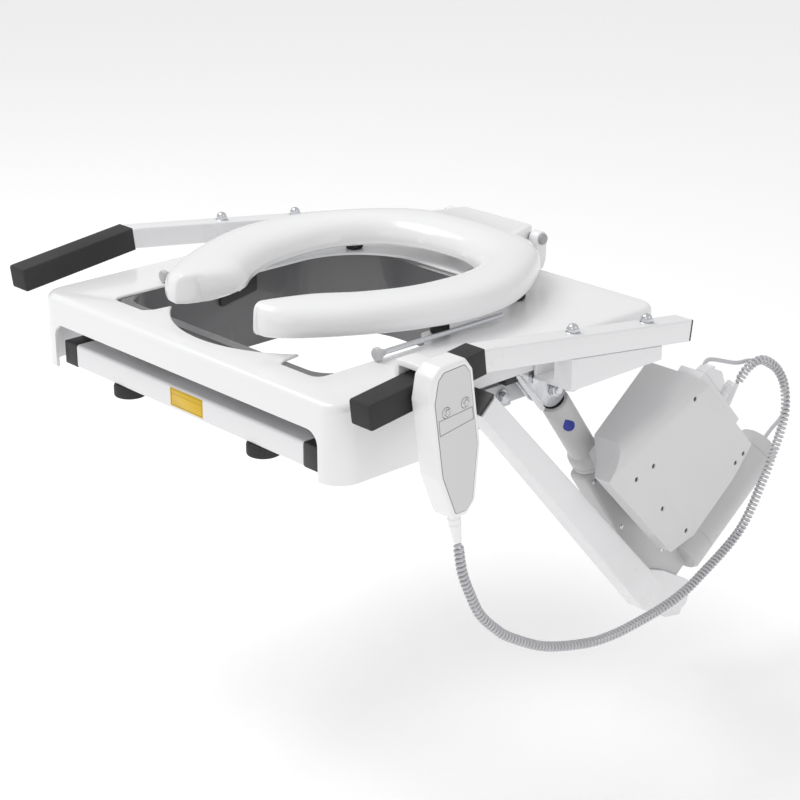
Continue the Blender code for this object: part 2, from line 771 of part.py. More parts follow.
ARM_HALF_H = TUBE_H / 2 - GRIP_WALL
for side in ("left", "right"):
    sign = mirrored(side)
    half_w = TUBE_W / 2 - GRIP_WALL
    x0, x1 = span(side, ARM_X - half_w, ARM_X + half_w)
    arm = slab(
        "arm_" + side,
        bent(ARM_HALF_H, GRIP_FRONT + GRIP_SLOPE * 0.004, ARM_END),
        "X",
        x0,
        x1,
        "white_paint",
    )
    x0, x1 = span(side, ARM_X - half_w + TUBE_WALL, ARM_X + half_w - TUBE_WALL)
    inner = bent(ARM_HALF_H - TUBE_WALL, GRIP_FRONT - GRIP_SLOPE * 0.01, ARM_END - ARM_SLOPE * 0.004)
    cut(arm, slab("arm_hollow_" + side, inner, "X", x0, x1))
    grip_start = GRIP_FRONT
    grip_end = ARM_KNEE - GRIP_SLOPE * 0.001
    x0, x1 = span(side, ARM_X - TUBE_W / 2, ARM_X + TUBE_W / 2)
    grip = slab("grip_" + side, straight(TUBE_H / 2, grip_start, grip_end), "X", x0, x1, "black_rubber")
    x0, x1 = span(side, ARM_X - half_w - GAP, ARM_X + half_w + GAP)
    bore = slab(
        "grip_bore_" + side,
        straight(ARM_HALF_H + GAP, GRIP_FRONT + GRIP_SLOPE * 0.0037, ARM_KNEE + GRIP_SLOPE * 0.02),
        "X",
        x0,
        x1,
    )
    cut(grip, bore)
    for name, y in zip(("front", "rear"), ARM_BOLT_Y):
        share = (y - ARM_KNEE.y) / (ARM_END.y - ARM_KNEE.y)
        top = ARM_KNEE.z + (ARM_END.z - ARM_KNEE.z) * share + ARM_HALF_H / ARM_SLOPE.y + 0.0016
        x = sign * ARM_X
        hex_bolt("arm_bolt_" + name + "_" + side, (x, y, top), top - LIFT_RAIL_BOTTOM + 0.012, ARM_BOLT_R)
        hole = rod(
            "arm_hole_" + name + "_" + side,
            (x, y, 0.02),
            (x, y, top + 0.01),
            ARM_BOLT_R + GAP,
            sides=16,
        )
        cut(arm, hole)
    x0, x1 = span(side, RAIL_OUT + GAP, RAIL_OUT + 0.004)
    y0, y1 = ARM_BOLT_Y[0] - 0.014, ARM_BOLT_Y[1] + 0.014
    arm_bracket = box(
        "arm_bracket_" + side,
        (x0, y0, LIFT_RAIL_BOTTOM - 0.006),
        (x1, y1, LIP_BOTTOM - 0.002),
        "white_paint",
    )
    x0, x1 = span(side, RAIL_OUT + 0.001, ARM_X + 0.013)
    shelf = box(
        "arm_shelf_" + side, (x0, y0, LIFT_RAIL_BOTTOM - 0.010), (x1, y1, LIFT_RAIL_BOTTOM - 0.0055)
    )
    under = []
    for y in (y0, y1):
        share = (y - ARM_KNEE.y) / (ARM_END.y - ARM_KNEE.y)
        under.append((y, ARM_KNEE.z + (ARM_END.z - ARM_KNEE.z) * share - ARM_HALF_H / ARM_SLOPE.y - GAP))
    x0, x1 = span(side, ARM_X - 0.013, ARM_X + 0.013)
    wedge = slab(
        "arm_wedge_" + side,
        ((y0, LIFT_RAIL_BOTTOM - 0.008), *under, (y1, LIFT_RAIL_BOTTOM - 0.008)),
        "X",
        x0,
        x1,
    )
    join(arm_bracket, shelf, wedge)
    for name in ("front", "rear"):
        cut(arm_bracket, bpy.data.objects["arm_hole_" + name + "_" + side])

# Clevis on the right rail: two cheeks and the pin that the actuator pushes.
CHEEK_IN = ACT_X - EYE_HALF - 0.0015
CHEEK_OUT = ACT_X + EYE_HALF + 0.0015
CHEEK_TOP = LIFT_RAIL_BOTTOM - GAP
cheek_round = arc((CLEVIS.y, CLEVIS.z), 0.021, 230, 350, 8)
cheek_outline = [(-0.192, CHEEK_TOP), (-0.1500, 0.0165)] + cheek_round + [(-0.108, CHEEK_TOP)]
clevis = slab("clevis_bracket", cheek_outline, "X", CHEEK_IN - CHEEK_THICK, CHEEK_IN, "zinc")
outer_cheek = slab("clevis_cheek", cheek_outline, "X", CHEEK_OUT, CHEEK_OUT + CHEEK_THICK)
bridge = box(
    "clevis_bridge",
    (CHEEK_IN - CHEEK_THICK, -0.1915, CHEEK_TOP - 0.004),
    (CHEEK_OUT + CHEEK_THICK, -0.1085, CHEEK_TOP),
)
join(clevis, outer_cheek, bridge)
PIN_START = CHEEK_IN - CHEEK_THICK - 0.004
cut(clevis, rod("clevis_bore", (0.2, CLEVIS.y, CLEVIS.z), (0.3, CLEVIS.y, CLEVIS.z), PIN_R + GAP, sides=16))
turned(
    "clevis_pin",
    (PIN_START, CLEVIS.y, CLEVIS.z),
    (0.3, CLEVIS.y, CLEVIS.z),
    (
        (0.0, 0.0075),
        (0.0037, 0.0075),
        (0.0037, PIN_R),
        (CHEEK_OUT + CHEEK_THICK + GAP - PIN_START, PIN_R),
        (CHEEK_OUT + CHEEK_THICK + GAP - PIN_START, 0.0085),
        (CHEEK_OUT + CHEEK_THICK + 0.006 - PIN_START, 0.0075),
        (CHEEK_OUT + CHEEK_THICK + 0.006 - PIN_START, 0.0045),
        (CHEEK_OUT + CHEEK_THICK + 0.009 - PIN_START, 0.0045),
    ),
    "zinc",
    16,
)

# Seat ring: an open-front moulding with a rear flange, on four rubber bumpers and a rear hinge.
# Stations from the front tip round to the middle of the rear: outer X, outer Y, inner X, inner Y.
RING_STATIONS = (
    (0.070, -0.412, 0.054, -0.386),
    (0.103, -0.398, 0.052, -0.348),
    (0.137, -0.356, 0.058, -0.318),
    (0.168, -0.300, 0.084, -0.284),
    (0.190, -0.243, 0.106, -0.236),
    (0.197, -0.190, 0.114, -0.185),
    (0.191, -0.140, 0.112, -0.140),
    (0.173, -0.095, 0.100, -0.105),
    (0.147, -0.052, 0.078, -0.080),
    (0.117, -0.014, 0.048, -0.066),
    (0.080, 0.006, 0.024, -0.060),
    (0.0, 0.014, 0.0, -0.059),
)
# The section across the ring: share of the way from the inner edge to the outer, and height above the bottom.
RING_SECTION = (
    (0.10, 0.000),
    (0.93, 0.000),
    (1.00, 0.006),
    (0.99, 0.019),
    (0.90, 0.029),
    (0.70, 0.035),
    (0.40, 0.0345),
    (0.15, 0.029),
    (0.02, 0.017),
    (0.00, 0.006),
)


def ring_mesh(name):
    """A loft of the ring's section through its stations, mirrored across the middle."""
    stations = []
    for ox, oy, ix, iy in RING_STATIONS:
        stations.append((Vector((ox, oy, 0)), Vector((ix, iy, 0))))
    fine = []
    ends = [stations[0]] + stations + [stations[-1]]
    for a, b, c, d in zip(ends, ends[1:], ends[2:], ends[3:]):
        for k in range(2):
            t = k / 2
            pair = []
            for p0, p1, p2, p3 in zip(a, b, c, d):
                pair.append(
                    (
                        p1 * 2
                        + (p2 - p0) * t
                        + (p0 * 2 - p1 * 5 + p2 * 4 - p3) * t**2
                        + (p1 * 3 - p0 - p2 * 3 + p3) * t**3
                    )
                    / 2
                )
            fine.append(pair)
    fine.append(stations[-1])
    mirror = [(Vector((-o.x, o.y, 0)), Vector((-i.x, i.y, 0))) for o, i in fine[:-1]]
    loop = fine + mirror[::-1]
    bm = bmesh.new()
    rings = []
    for outer, inner in loop:
        ring = []
        for share, height in RING_SECTION:
            place = inner.lerp(outer, share)
            ring.append(bm.verts.new((place.x, place.y, RING_BOTTOM + height)))
        rings.append(ring)
    count = len(RING_SECTION)
    for a, b in zip(rings, rings[1:]):
        for k in range(count):
            bm.faces.new((a[k], a[(k + 1) % count], b[(k + 1) % count], b[k]))
    bm.faces.new(rings[0])
    bm.faces.new(rings[-1][::-1])
    return mesh_of(name, bm)


ring = add("seat_ring", ring_mesh("seat_ring"), "white_plastic")
flange = slab(
    "ring_flange",
    ((-0.075, -0.010), (0.075, -0.010), (0.058, HINGE_Y + 0.008), (-0.058, HINGE_Y + 0.008)),
    "Z",
    RING_BOTTOM + 0.008,
    RING_TOP - 0.002,
)
join(ring, flange)
cut(
    ring,
    rod(
        "hinge_bore",
        (-0.1, HINGE_Y, RING_HINGE_Z),
        (0.1, HINGE_Y, RING_HINGE_Z),
        RING_PIN_R + GAP,
        sides=12,
    ),
)
POST_IN, POST_OUT = 0.0665, 0.0805
rod(
    "hinge_pin",
    (-POST_OUT - 0.004, HINGE_Y, RING_HINGE_Z),
    (POST_OUT + 0.004, HINGE_Y, RING_HINGE_Z),
    RING_PIN_R,
    "zinc",
    12,
)
POST_FOOT = SHELL_TOP + GAP
saddle = box(
    "hinge_bracket",
    (-POST_OUT, HINGE_Y - 0.013, POST_FOOT),
    (POST_OUT, HINGE_Y + 0.004, POST_FOOT + 0.004),
    "white_plastic",
)
for side in ("left", "right"):
    x0, x1 = span(side, POST_IN, POST_OUT)
    post = slab(
        "hinge_post_" + side,
        [
            (HINGE_Y - 0.0129, POST_FOOT + 0.001),
            (HINGE_Y + 0.0039, POST_FOOT + 0.001),
            (HINGE_Y + 0.008, POST_FOOT + 0.010),
        ]
        + arc((HINGE_Y, RING_HINGE_Z), 0.009, 0, 180, 8)
        + [(HINGE_Y - 0.0129, POST_FOOT + 0.012)],
        "X",
        x0,
        x1,
    )
    join(saddle, post)
cut(
    saddle,
    rod(
        "post_bore",
        (-0.1, HINGE_Y, RING_HINGE_Z),
        (0.1, HINGE_Y, RING_HINGE_Z),
        RING_PIN_R + GAP,
        sides=12,
    ),
)
for side in ("left", "right"):
    for name, x, y in (("front", 0.166, -0.226), ("rear", 0.140, -0.078)):
        turned(
            "bumper_" + name + "_" + side,
            (mirrored(side) * x, y, SHELL_TOP + GAP),
            (mirrored(side) * x, y, RING_BOTTOM - GAP),
            (
                (0.0, BUMPER_R * 0.75),
                (0.003, BUMPER_R),
                (RING_BOTTOM - SHELL_TOP - 2 * GAP, BUMPER_R),
            ),
            "black_rubber",
            14,
        )

# Actuator: tube, collar, L-shaped body with the motor across its foot, and the rod inside.
ACT_WAY = (FOOT - CLEVIS).normalized()
ACT_LENGTH = (FOOT - CLEVIS).length


def act(far, out=0.0, x=ACT_X):
    """A point in the actuator's own plane: far from the top pin, out to its upper rear."""
    point = along(CLEVIS, FOOT, far, out)
    return Vector((x, point.y, point.z))


def act_outline(pairs):
    points = [act(far, out) for far, out in pairs]
    return [(p.y, p.z) for p in points]


TUBE_START, TUBE_END = 0.026, 0.122
COLLAR_END = 0.138
BODY_END = ACT_LENGTH - 0.022
tube = turned(
    "actuator_tube",
    act(TUBE_START),
    act(COLLAR_END),
    (
        (0.0, ACT_TUBE_R - 0.002),
        (0.002, ACT_TUBE_R),
        (TUBE_END - TUBE_START, ACT_TUBE_R),
        (TUBE_END - TUBE_START + 0.0005, 0.020),
        (TUBE_END - TUBE_START + 0.003, 0.0215),
        (COLLAR_END - TUBE_START - 0.002, 0.0215),
        (COLLAR_END - TUBE_START, 0.020),
    ),
    "grey_plastic",
    28,
)
cut(tube, rod("tube_bore", act(TUBE_START - 0.01), act(COLLAR_END + 0.01), ACT_ROD_R + 0.0008, sides=20))
BODY_START = COLLAR_END + GAP
BODY_FRONT, BODY_BACK = -0.026, 0.022
GEAR_START = MOTOR_FAR - MOTOR_R - 0.006
body = slab(
    "actuator_housing",
    act_outline(
        arc((BODY_START + 0.008, BODY_FRONT + 0.008), 0.008, 270, 180, 3)
        + [
            (BODY_START, BODY_BACK),
            (GEAR_START, BODY_BACK),
            (GEAR_START + 0.008, 0.046),
            (BODY_END, 0.046),
        ]
        + arc((BODY_END - 0.034, BODY_FRONT + 0.034), 0.034, 0, -90, 6)
    ),
    "X",
    ACT_X - BODY_HALF,
    ACT_X + BODY_HALF,
    "grey_plastic",
)
soften = body.modifiers.new("soft_edges", "BEVEL")
soften.width = 0.005
soften.segments = 2
soften.limit_method = "ANGLE"
soften.angle_limit = radians(60)
lug_outline = act_outline(
    [(BODY_END - 0.02, 0.014), (BODY_END - 0.02, -0.014)] + arc((ACT_LENGTH, 0.0), 0.012, 270, 450, 8)
)
lug = slab("housing_lug", lug_outline, "X", ACT_X - BODY_HALF + 0.0001, ACT_X + BODY_HALF - 0.0001)
motor_length = MOTOR_REACH - 0.034
motor = turned(
    "motor_case",
    act(MOTOR_FAR, 0.034, MOTOR_X),
    act(MOTOR_FAR, MOTOR_REACH, MOTOR_X),
    (
        (0.0, MOTOR_R - 0.004),
        (0.004, MOTOR_R),
        (motor_length - 0.006, MOTOR_R),
        (motor_length - 0.002, MOTOR_R - 0.002),
        (motor_length, MOTOR_R - 0.006),
    ),
    sides=28,
)
join(body, lug, motor)
cut(
    body,
    rod("body_bore", act(BODY_START - 0.01), act(BODY_START + 0.100), ACT_ROD_R + 0.0008, sides=20),
    rod("lug_bore", act(ACT_LENGTH, 0.0, 0.2), act(ACT_LENGTH, 0.0, 0.3), PIN_R + GAP, sides=16),
)

# Rod: a steel rod whose eye takes the top pin in a wide slot, with room for the pin to move across the rod.
rod_piece = rod("actuator_rod", act(0.006), act(COLLAR_END + 0.080), ACT_ROD_R - 0.001, "zinc", 20)
SLOT_FAR = PIN_R + 0.0034
SLOT_OUT = PIN_R + EYE_PLAY
EYE_RIM = 0.0050
eye_outline = rounded(
    -SLOT_FAR - EYE_RIM,
    SLOT_FAR + EYE_RIM,
    -SLOT_OUT - EYE_RIM,
    SLOT_OUT + EYE_RIM,
    0.009,
)
slot_outline = rounded(-SLOT_FAR, SLOT_FAR, -SLOT_OUT, SLOT_OUT, 0.003)
join(rod_piece, slab("rod_eye", act_outline(eye_outline), "X", ACT_X - EYE_HALF, ACT_X + EYE_HALF))
cut(rod_piece, slab("eye_slot", act_outline(slot_outline), "X", 0.2, 0.3))

# Control box: a rear tray on the actuator and a bent front cover.
BOX_OUTLINE = ((0.041, 0.017), (0.141, -0.091), (0.108, -0.127), (0.040, -0.178), (-0.002, -0.187), (
    -0.117, -0.065
),
               (-0.107, -0.053), (-0.090, -0.029))
COVER = 0.003
cover = slab("box_cover", BOX_OUTLINE, "X", BOX_INNER + 0.006, BOX_OUTER, "pale_grey")
cover_edges = cover.modifiers.new("bend", "BEVEL")
cover_edges.width = 0.007
cover_edges.segments = 3
cover_edges.limit_method = "ANGLE"
cover_edges.angle_limit = radians(60)


def shrink(outline, by):
    """The outline moved in by the same distance on every side."""
    moved = []
    count = len(outline)
    for k in range(count):
        a, b, c = (Vector(outline[(k + n - 1) % count]) for n in range(3))
        first = (b - a).normalized()
        second = (c - b).normalized()
        in_first = Vector((first.y, -first.x))
        in_second = Vector((second.y, -second.x))
        middle = (in_first + in_second).normalized()
        moved.append(tuple(b + middle * by / max(middle.dot(in_first), 0.3)))
    return moved


cut(cover, slab("cover_hollow", shrink(BOX_OUTLINE, COVER), "X", BOX_INNER - 0.01, BOX_OUTER - COVER))
box_tray = slab(
    "control_box",
    shrink(BOX_OUTLINE, COVER + GAP),
    "X",
    BOX_INNER,
    BOX_OUTER - COVER - GAP,
    "pale_grey",
)
back_outline = act_outline(
    [(0.113, 0.0245), (0.108, 0.131), (0.255, 0.150), (0.262, 0.100), (0.262, 0.0245)]
)
join(box_tray, slab("box_back", back_outline, "X", BOX_BACK, BOX_INNER + 0.001))
cut(
    box_tray,
    slab("tray_hollow", shrink(BOX_OUTLINE, COVER * 2 + GAP), "X", BOX_INNER + COVER, BOX_OUTER + 0.01),
    slab("back_hollow", shrink(back_outline, COVER), "X", BOX_BACK + COVER, BOX_INNER + 0.01),
)
SOCKET_A = Vector((0.0, 0.0485, 0.0120))
SOCKET_B = Vector((0.0, 0.1400, -0.0870))
socket_way = (SOCKET_B - SOCKET_A).normalized()
socket_up = Vector((0.0, -socket_way.z, socket_way.y))


def on_strip(far, up):
    point = SOCKET_A + socket_way * far + socket_up * up
    return (point.y, point.z)


strip_outline = [
    on_strip(0.004, 0.0008), on_strip(0.004, 0.012), on_strip(0.108, 0.012), on_strip(0.108, 0.0008)
]
strip = slab("socket_strip", strip_outline, "X", 0.276, 0.312, "white_plastic")
socket = [on_strip(0.058, 0.006), on_strip(0.058, 0.02), on_strip(0.070, 0.02), on_strip(0.070, 0.006)]
cut(strip, slab("spare_socket", socket, "X", 0.289, 0.299))


def strip_point(far, up, x):
    y, z = on_strip(far, up)
    return Vector((x, y, z))


# Handset: a case that hangs by its hook over the right grip, with two sprung buttons.
FACE_OUTLINE = ((-0.402, 0.148), (-0.368, 0.150), (-0.358, 0.137), (-0.346, 0.055), (-0.352, -0.006), (
    -0.364, -0.019
),
                (-0.385, -0.019), (-0.405, 0.030), (-0.417, 0.112), (-0.412, 0.138))
case = slab("handset_case", FACE_OUTLINE, "X", HANDSET_BACK, HANDSET_FACE, "pale_grey")
case_edges = case.modifiers.new("soft_edges", "BEVEL")
case_edges.width = 0.004
case_edges.segments = 2
case_edges.limit_method = "ANGLE"
case_edges.angle_limit = radians(50)
RELIEF_TOP = Vector((0.336, -0.372, -0.017))
RELIEF_END = Vector((0.338, -0.366, -0.052))
relief_length = (RELIEF_END - RELIEF_TOP).length
relief = turned(
    "cord_relief",
    RELIEF_TOP,
    RELIEF_END,
    ((-0.006, 0.0075), (0.0, 0.0075), (relief_length, 0.0045)),
    sides=14,
)
join(case, relief)
hook = box("case_hook", (ARM_X - 0.024, -0.398, 0.1322), (HANDSET_BACK + 0.002, -0.372, 0.1392))
join(case, hook, box("hook_finger", (ARM_X - 0.024, -0.397, 0.1180), (ARM_X - 0.0175, -0.373, 0.1380)))
BUTTONS = (("raise", -0.370, 0.104), ("lower", -0.396, 0.100))
for name, y, z in BUTTONS:
    turned(
        "button_" + name,
        (HANDSET_FACE - 0.0055, y, z),
        (HANDSET_FACE + 0.0022, y, z),
        ((0.0, BUTTON_R), (0.0067, BUTTON_R), (0.0077, BUTTON_R - 0.0015)),
        "grey_plastic",
        18,
    )
    cut(
        case,
        rod(
            "button_well_" + name,
            (HANDSET_FACE - 0.009, y, z),
            (HANDSET_FACE + 0.01, y, z),
            BUTTON_R + 0.0005,
            sides=18,
        ),
    )

# Cords: the coiled handset cord as a tube of its outer size, and two plain cables at the box.
CORD_ROUTE = (
    (0.3380, -0.3658, -0.0525), (0.339, -0.360, -0.088), (0.340, -0.349, -0.117), (0.341, -0.335, -0.145),
    (0.342, -0.313, -0.169), (0.343, -0.291, -0.187), (0.345, -0.237, -0.217), (0.347, -0.172, -0.236),
    (0.348, -0.131, -0.241), (0.348, -0.095, -0.241), (0.347, -0.050, -0.239), (0.346, -0.011, -0.234),
    (0.344, 0.029, -0.223), (0.338, 0.111, -0.190), (0.330, 0.161, -0.143), (0.327, 0.178, -0.122),
    (0.321, 0.202, -0.095), (0.317, 0.215, -0.072), (0.313, 0.218, -0.048), (0.310, 0.213, -0.028),
    (0.306, 0.200, -0.010), (0.301, 0.182, 0.000), (0.297, 0.162, -0.006), (0.2955, 0.1438, -0.0226),
)
cord_points = smooth_path(CORD_ROUTE, 76)
split = 36  # the front stretch hangs still and the rear one goes with the actuator
cord("handset_cord_front", cord_points[: split + 1], CORD_R)
step = (cord_points[split + 1] - cord_points[split]).normalized()
cord("handset_cord_rear", [cord_points[split] + step * GAP] + cord_points[split + 1 :], CORD_R)
PLUG_END = strip_point(0.090, 0.0455, 0.294)
PLUG_SEAT = strip_point(0.090, 0.0125, 0.294)
plug_length = (PLUG_END - PLUG_SEAT).length
plug_profile = (
    (0.0, 0.0075),
    (plug_length * 0.55, 0.0075),
    (plug_length * 0.6, 0.006),
    (plug_length - 0.0062, 0.0045),
)
turned("handset_plug", PLUG_SEAT, PLUG_END, plug_profile, "white_plastic", 14)
MOTOR_END = act(MOTOR_FAR - 0.012, MOTOR_REACH + GAP, 0.262)
MOTOR_SIDE = act(MOTOR_FAR - 0.012, MOTOR_REACH + 0.014, 0.262)
CABLE_A = (
    strip_point(0.030, 0.0262, 0.287), strip_point(0.030, 0.040, 0.287), (0.286, 0.150, 0.000), (
        0.286, 0.178, -0.004
    ),
    (0.285, 0.206, -0.014), (0.283, 0.240, -0.036), (0.278, 0.268, -0.070), (0.269, 0.280, -0.104),
    MOTOR_SIDE, MOTOR_END,
)
cord("motor_cable", smooth_path(CABLE_A, 44), CABLE_R)
plug_profile = ((0.0, 0.0065), (0.008, 0.0065), (0.0125, 0.004))
turned(
    "motor_plug",
    strip_point(0.030, 0.0125, 0.287),
    strip_point(0.030, 0.025, 0.287),
    plug_profile,
    "white_plastic",
    14,
)


def carried(name, place, pieces, parent=None):
    """An empty on a joint's axis that carries the pieces moving on that joint."""
    axis = bpy.data.objects.new(name, None)
    axis.empty_display_size = 0.05
    PARTS.objects.link(axis)
    axis.location = place
    if parent:
        bpy.context.view_layer.update()
        axis.parent = parent
        axis.matrix_parent_inverse = parent.matrix_world.inverted()
    for piece in pieces:
        obj = bpy.data.objects[piece]
        obj.parent = axis
        obj.matrix_parent_inverse = Matrix.Translation(-Vector(place))
    return axis


# Joints: the lift frame on its front pivots, the ring on its rear pin, the actuator on its foot pin,
# the rod in the actuator, and the handset with its buttons.
SIDES = ("left", "right")
SIDED_PIECES = ("lift_rail_", "guard_rod_", "arm_", "grip_", "arm_bracket_")
LIFT_PIECES = (
    [
        "seat_shell",
        "splash_guard",
        "lift_cross_bar",
        "clevis_bracket",
        "clevis_pin",
        "hinge_bracket",
        "hinge_pin",
    ]
    + [kind + side for kind in SIDED_PIECES for side in SIDES]
    + ["arm_bolt_" + end + "_" + side for end in ("front", "rear") for side in SIDES]
)
RING_PIECES = ["seat_ring"] + ["bumper_" + end + "_" + side for end in ("front", "rear") for side in SIDES]
ACTUATOR_PIECES = (
    "actuator_tube",
    "actuator_housing",
    "control_box",
    "box_cover",
    "socket_strip",
    "motor_plug",
    "motor_cable",
    "handset_plug",
    "handset_cord_rear",
)
lift_axis = carried("lift_axis", (0.0, PIVOT_Y, PIVOT_Z), LIFT_PIECES)
carried("ring_axis", (0.0, HINGE_Y, RING_HINGE_Z), RING_PIECES, lift_axis)
foot_axis = carried("foot_axis", (ACT_X, FOOT.y, FOOT.z), ACTUATOR_PIECES)
carried("rod_axis", (ACT_X, CLEVIS.y, CLEVIS.z), ["actuator_rod"], foot_axis)
handset_axis = carried("handset_axis", (HANDSET_BACK, *HANDSET_TOP), ["handset_case"], lift_axis)
for name, y, z in BUTTONS:
    carried(name + "_axis", (HANDSET_FACE, y, z), ["button_" + name], handset_axis)
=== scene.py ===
from math import atan2, ceil, cos, pi, radians, sin, sqrt

import bmesh
import bpy
from mathutils import Matrix, Vector


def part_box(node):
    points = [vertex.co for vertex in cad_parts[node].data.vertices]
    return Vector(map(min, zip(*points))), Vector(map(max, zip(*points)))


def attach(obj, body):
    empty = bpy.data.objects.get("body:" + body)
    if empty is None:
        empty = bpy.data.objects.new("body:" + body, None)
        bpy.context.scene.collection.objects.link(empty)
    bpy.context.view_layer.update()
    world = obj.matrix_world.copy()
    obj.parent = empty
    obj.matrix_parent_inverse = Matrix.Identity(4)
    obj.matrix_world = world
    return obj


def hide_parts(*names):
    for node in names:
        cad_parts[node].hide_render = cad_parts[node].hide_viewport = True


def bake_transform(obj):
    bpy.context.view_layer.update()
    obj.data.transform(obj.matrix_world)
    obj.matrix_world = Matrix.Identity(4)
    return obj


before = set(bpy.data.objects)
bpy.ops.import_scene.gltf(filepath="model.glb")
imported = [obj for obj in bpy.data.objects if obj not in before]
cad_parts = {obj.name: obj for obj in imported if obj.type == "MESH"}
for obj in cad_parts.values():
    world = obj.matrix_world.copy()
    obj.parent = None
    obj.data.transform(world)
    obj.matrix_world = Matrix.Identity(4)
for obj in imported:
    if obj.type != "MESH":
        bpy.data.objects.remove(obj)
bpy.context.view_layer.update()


# Camera: a long lens, a little above the seat and off its front right corner.
camera = bpy.data.objects.new("camera", bpy.data.cameras.new("camera"))
camera.data.sensor_width = 36.0
camera.data.lens = 88.4
camera.data.clip_end = 60.0
camera.location = (1.626, -1.649, 0.800)
camera.rotation_euler = (radians(68.99), 0.0, radians(46.96))
bpy.context.scene.collection.objects.link(camera)
bpy.context.scene.camera = camera
bpy.context.scene.view_settings.view_transform = "Standard"


# Handset cord: a four-core lead in a soft grey sheath, wound into a spring 12 mm across. It hangs from the handset's
# strain relief in a long curve under the side of the bowl and comes up to the control box's socket. It is made in
# three lengths, each listed with the bodies at its two ends, but no length is hung on a body.
CORD_ROUTE = (
    (0.3380, -0.3658, -0.0525), (0.339, -0.360, -0.088), (0.340, -0.349, -0.117), (0.341, -0.335, -0.145),
    (0.342, -0.313, -0.169), (0.343, -0.291, -0.187), (0.345, -0.237, -0.217), (0.347, -0.172, -0.236),
    (0.348, -0.131, -0.241), (0.348, -0.095, -0.241), (0.347, -0.050, -0.239), (0.346, -0.011, -0.234),
    (0.344, 0.029, -0.223), (0.338, 0.111, -0.190), (0.330, 0.161, -0.143), (0.327, 0.178, -0.122),
    (0.321, 0.202, -0.095), (0.317, 0.215, -0.072), (0.313, 0.218, -0.048), (0.310, 0.213, -0.028),
    (0.306, 0.200, -0.010), (0.301, 0.182, 0.000), (0.297, 0.162, -0.006), (0.2955, 0.1438, -0.0226),
)
SHEATH = 0.0034  # diameter of the lead itself
WINDING = 0.0042  # radius of the winding's centreline
WINDING_PITCH = 0.0054


def smooth_line(route, spacing):
    """Evenly spaced points on a curve through the route's points."""
    route = [Vector(p) for p in route]
    ends = [route[0] * 2 - route[1]] + route + [route[-1] * 2 - route[-2]]
    fine = []
    for a, b, c, d in zip(ends, ends[1:], ends[2:], ends[3:]):
        for k in range(24):
            t = k / 24
            bend = (a * 2 - b * 5 + c * 4 - d) * t**2 + (b * 3 - a - c * 3 + d) * t**3
            fine.append((b * 2 + (c - a) * t + bend) / 2)
    fine.append(route[-1])
    reach = [0.0]
    for a, b in zip(fine, fine[1:]):
        reach.append(reach[-1] + (b - a).length)
    count = ceil(reach[-1] / spacing)
    points = []
    k = 0
    for n in range(count + 1):
        want = reach[-1] * n / count
        while k < len(reach) - 2 and reach[k + 1] < want:
            k += 1
        share = (want - reach[k]) / (reach[k + 1] - reach[k])
        points.append(fine[k].lerp(fine[k + 1], min(share, 1.0)))
    return points


def run_length(points):
    return sum((b - a).length for a, b in zip(points, points[1:]))


def carried_frames(points):
    """For each point of a line, two directions square to it, turned as little as possible on the way."""
    frames = []
    side = None
    for k, point in enumerate(points):
        way = (points[min(k + 1, len(points) - 1)] - points[max(k - 1, 0)]).normalized()
        if side is None:
            side = way.orthogonal().normalized()
        side = (side - way * side.dot(way)).normalized()
        frames.append((point, side, way.cross(side)))
    return frames


def wound(line, radius, pitch, steps):
    """The line of a winding round another line. It eases out of the middle at both ends."""
    total = run_length(line)
    turns = total / pitch
    rings = carried_frames(line)
    wire = []
    count = int(turns * steps)
    for n in range(count + 1):
        place = n / count * (len(rings) - 1)
        k = min(int(place), len(rings) - 2)
        share = place - k
        point = rings[k][0].lerp(rings[k + 1][0], share)
        side = rings[k][1].lerp(rings[k + 1][1], share).normalized()
        up = rings[k][2].lerp(rings[k + 1][2], share).normalized()
        from_end = min(n, count - n) / steps * pitch
        ease = min(from_end / 0.009, 1.0)
        reach = radius * (1 - (1 - ease) ** 2)
        turn = 2 * pi * n / steps
        wire.append(point + side * reach * cos(turn) + up * reach * sin(turn))
    return wire


def sheathed(name, points, radius, sides):
    """A closed round sheath along a line."""
    bm = bmesh.new()
    rings = []
    for point, side, up in carried_frames(points):
        ring = []
        for k in range(sides):
            turn = 2 * pi * k / sides
            ring.append(bm.verts.new(point + side * radius * cos(turn) + up * radius * sin(turn)))
        rings.append(ring)
    for a, b in zip(rings, rings[1:]):
        for k in range(sides):
            bm.faces.new((a[k], a[(k + 1) % sides], b[(k + 1) % sides], b[k]))
    bm.faces.new(rings[0][::-1])
    bm.faces.new(rings[-1])
    return shaped(name, bm)


def shaped(name, bm, crease=38):
    """The finished mesh as an object, smooth but for edges sharper than the crease."""
    bmesh.ops.recalc_face_normals(bm, faces=bm.faces)
    mesh = bpy.data.meshes.new(name)
    bm.to_mesh(mesh)
    bm.free()
    mesh.shade_smooth()
    mesh.set_sharp_from_angle(angle=radians(crease))
    obj = bpy.data.objects.new(name, mesh)
    bpy.context.scene.collection.objects.link(obj)
    return obj


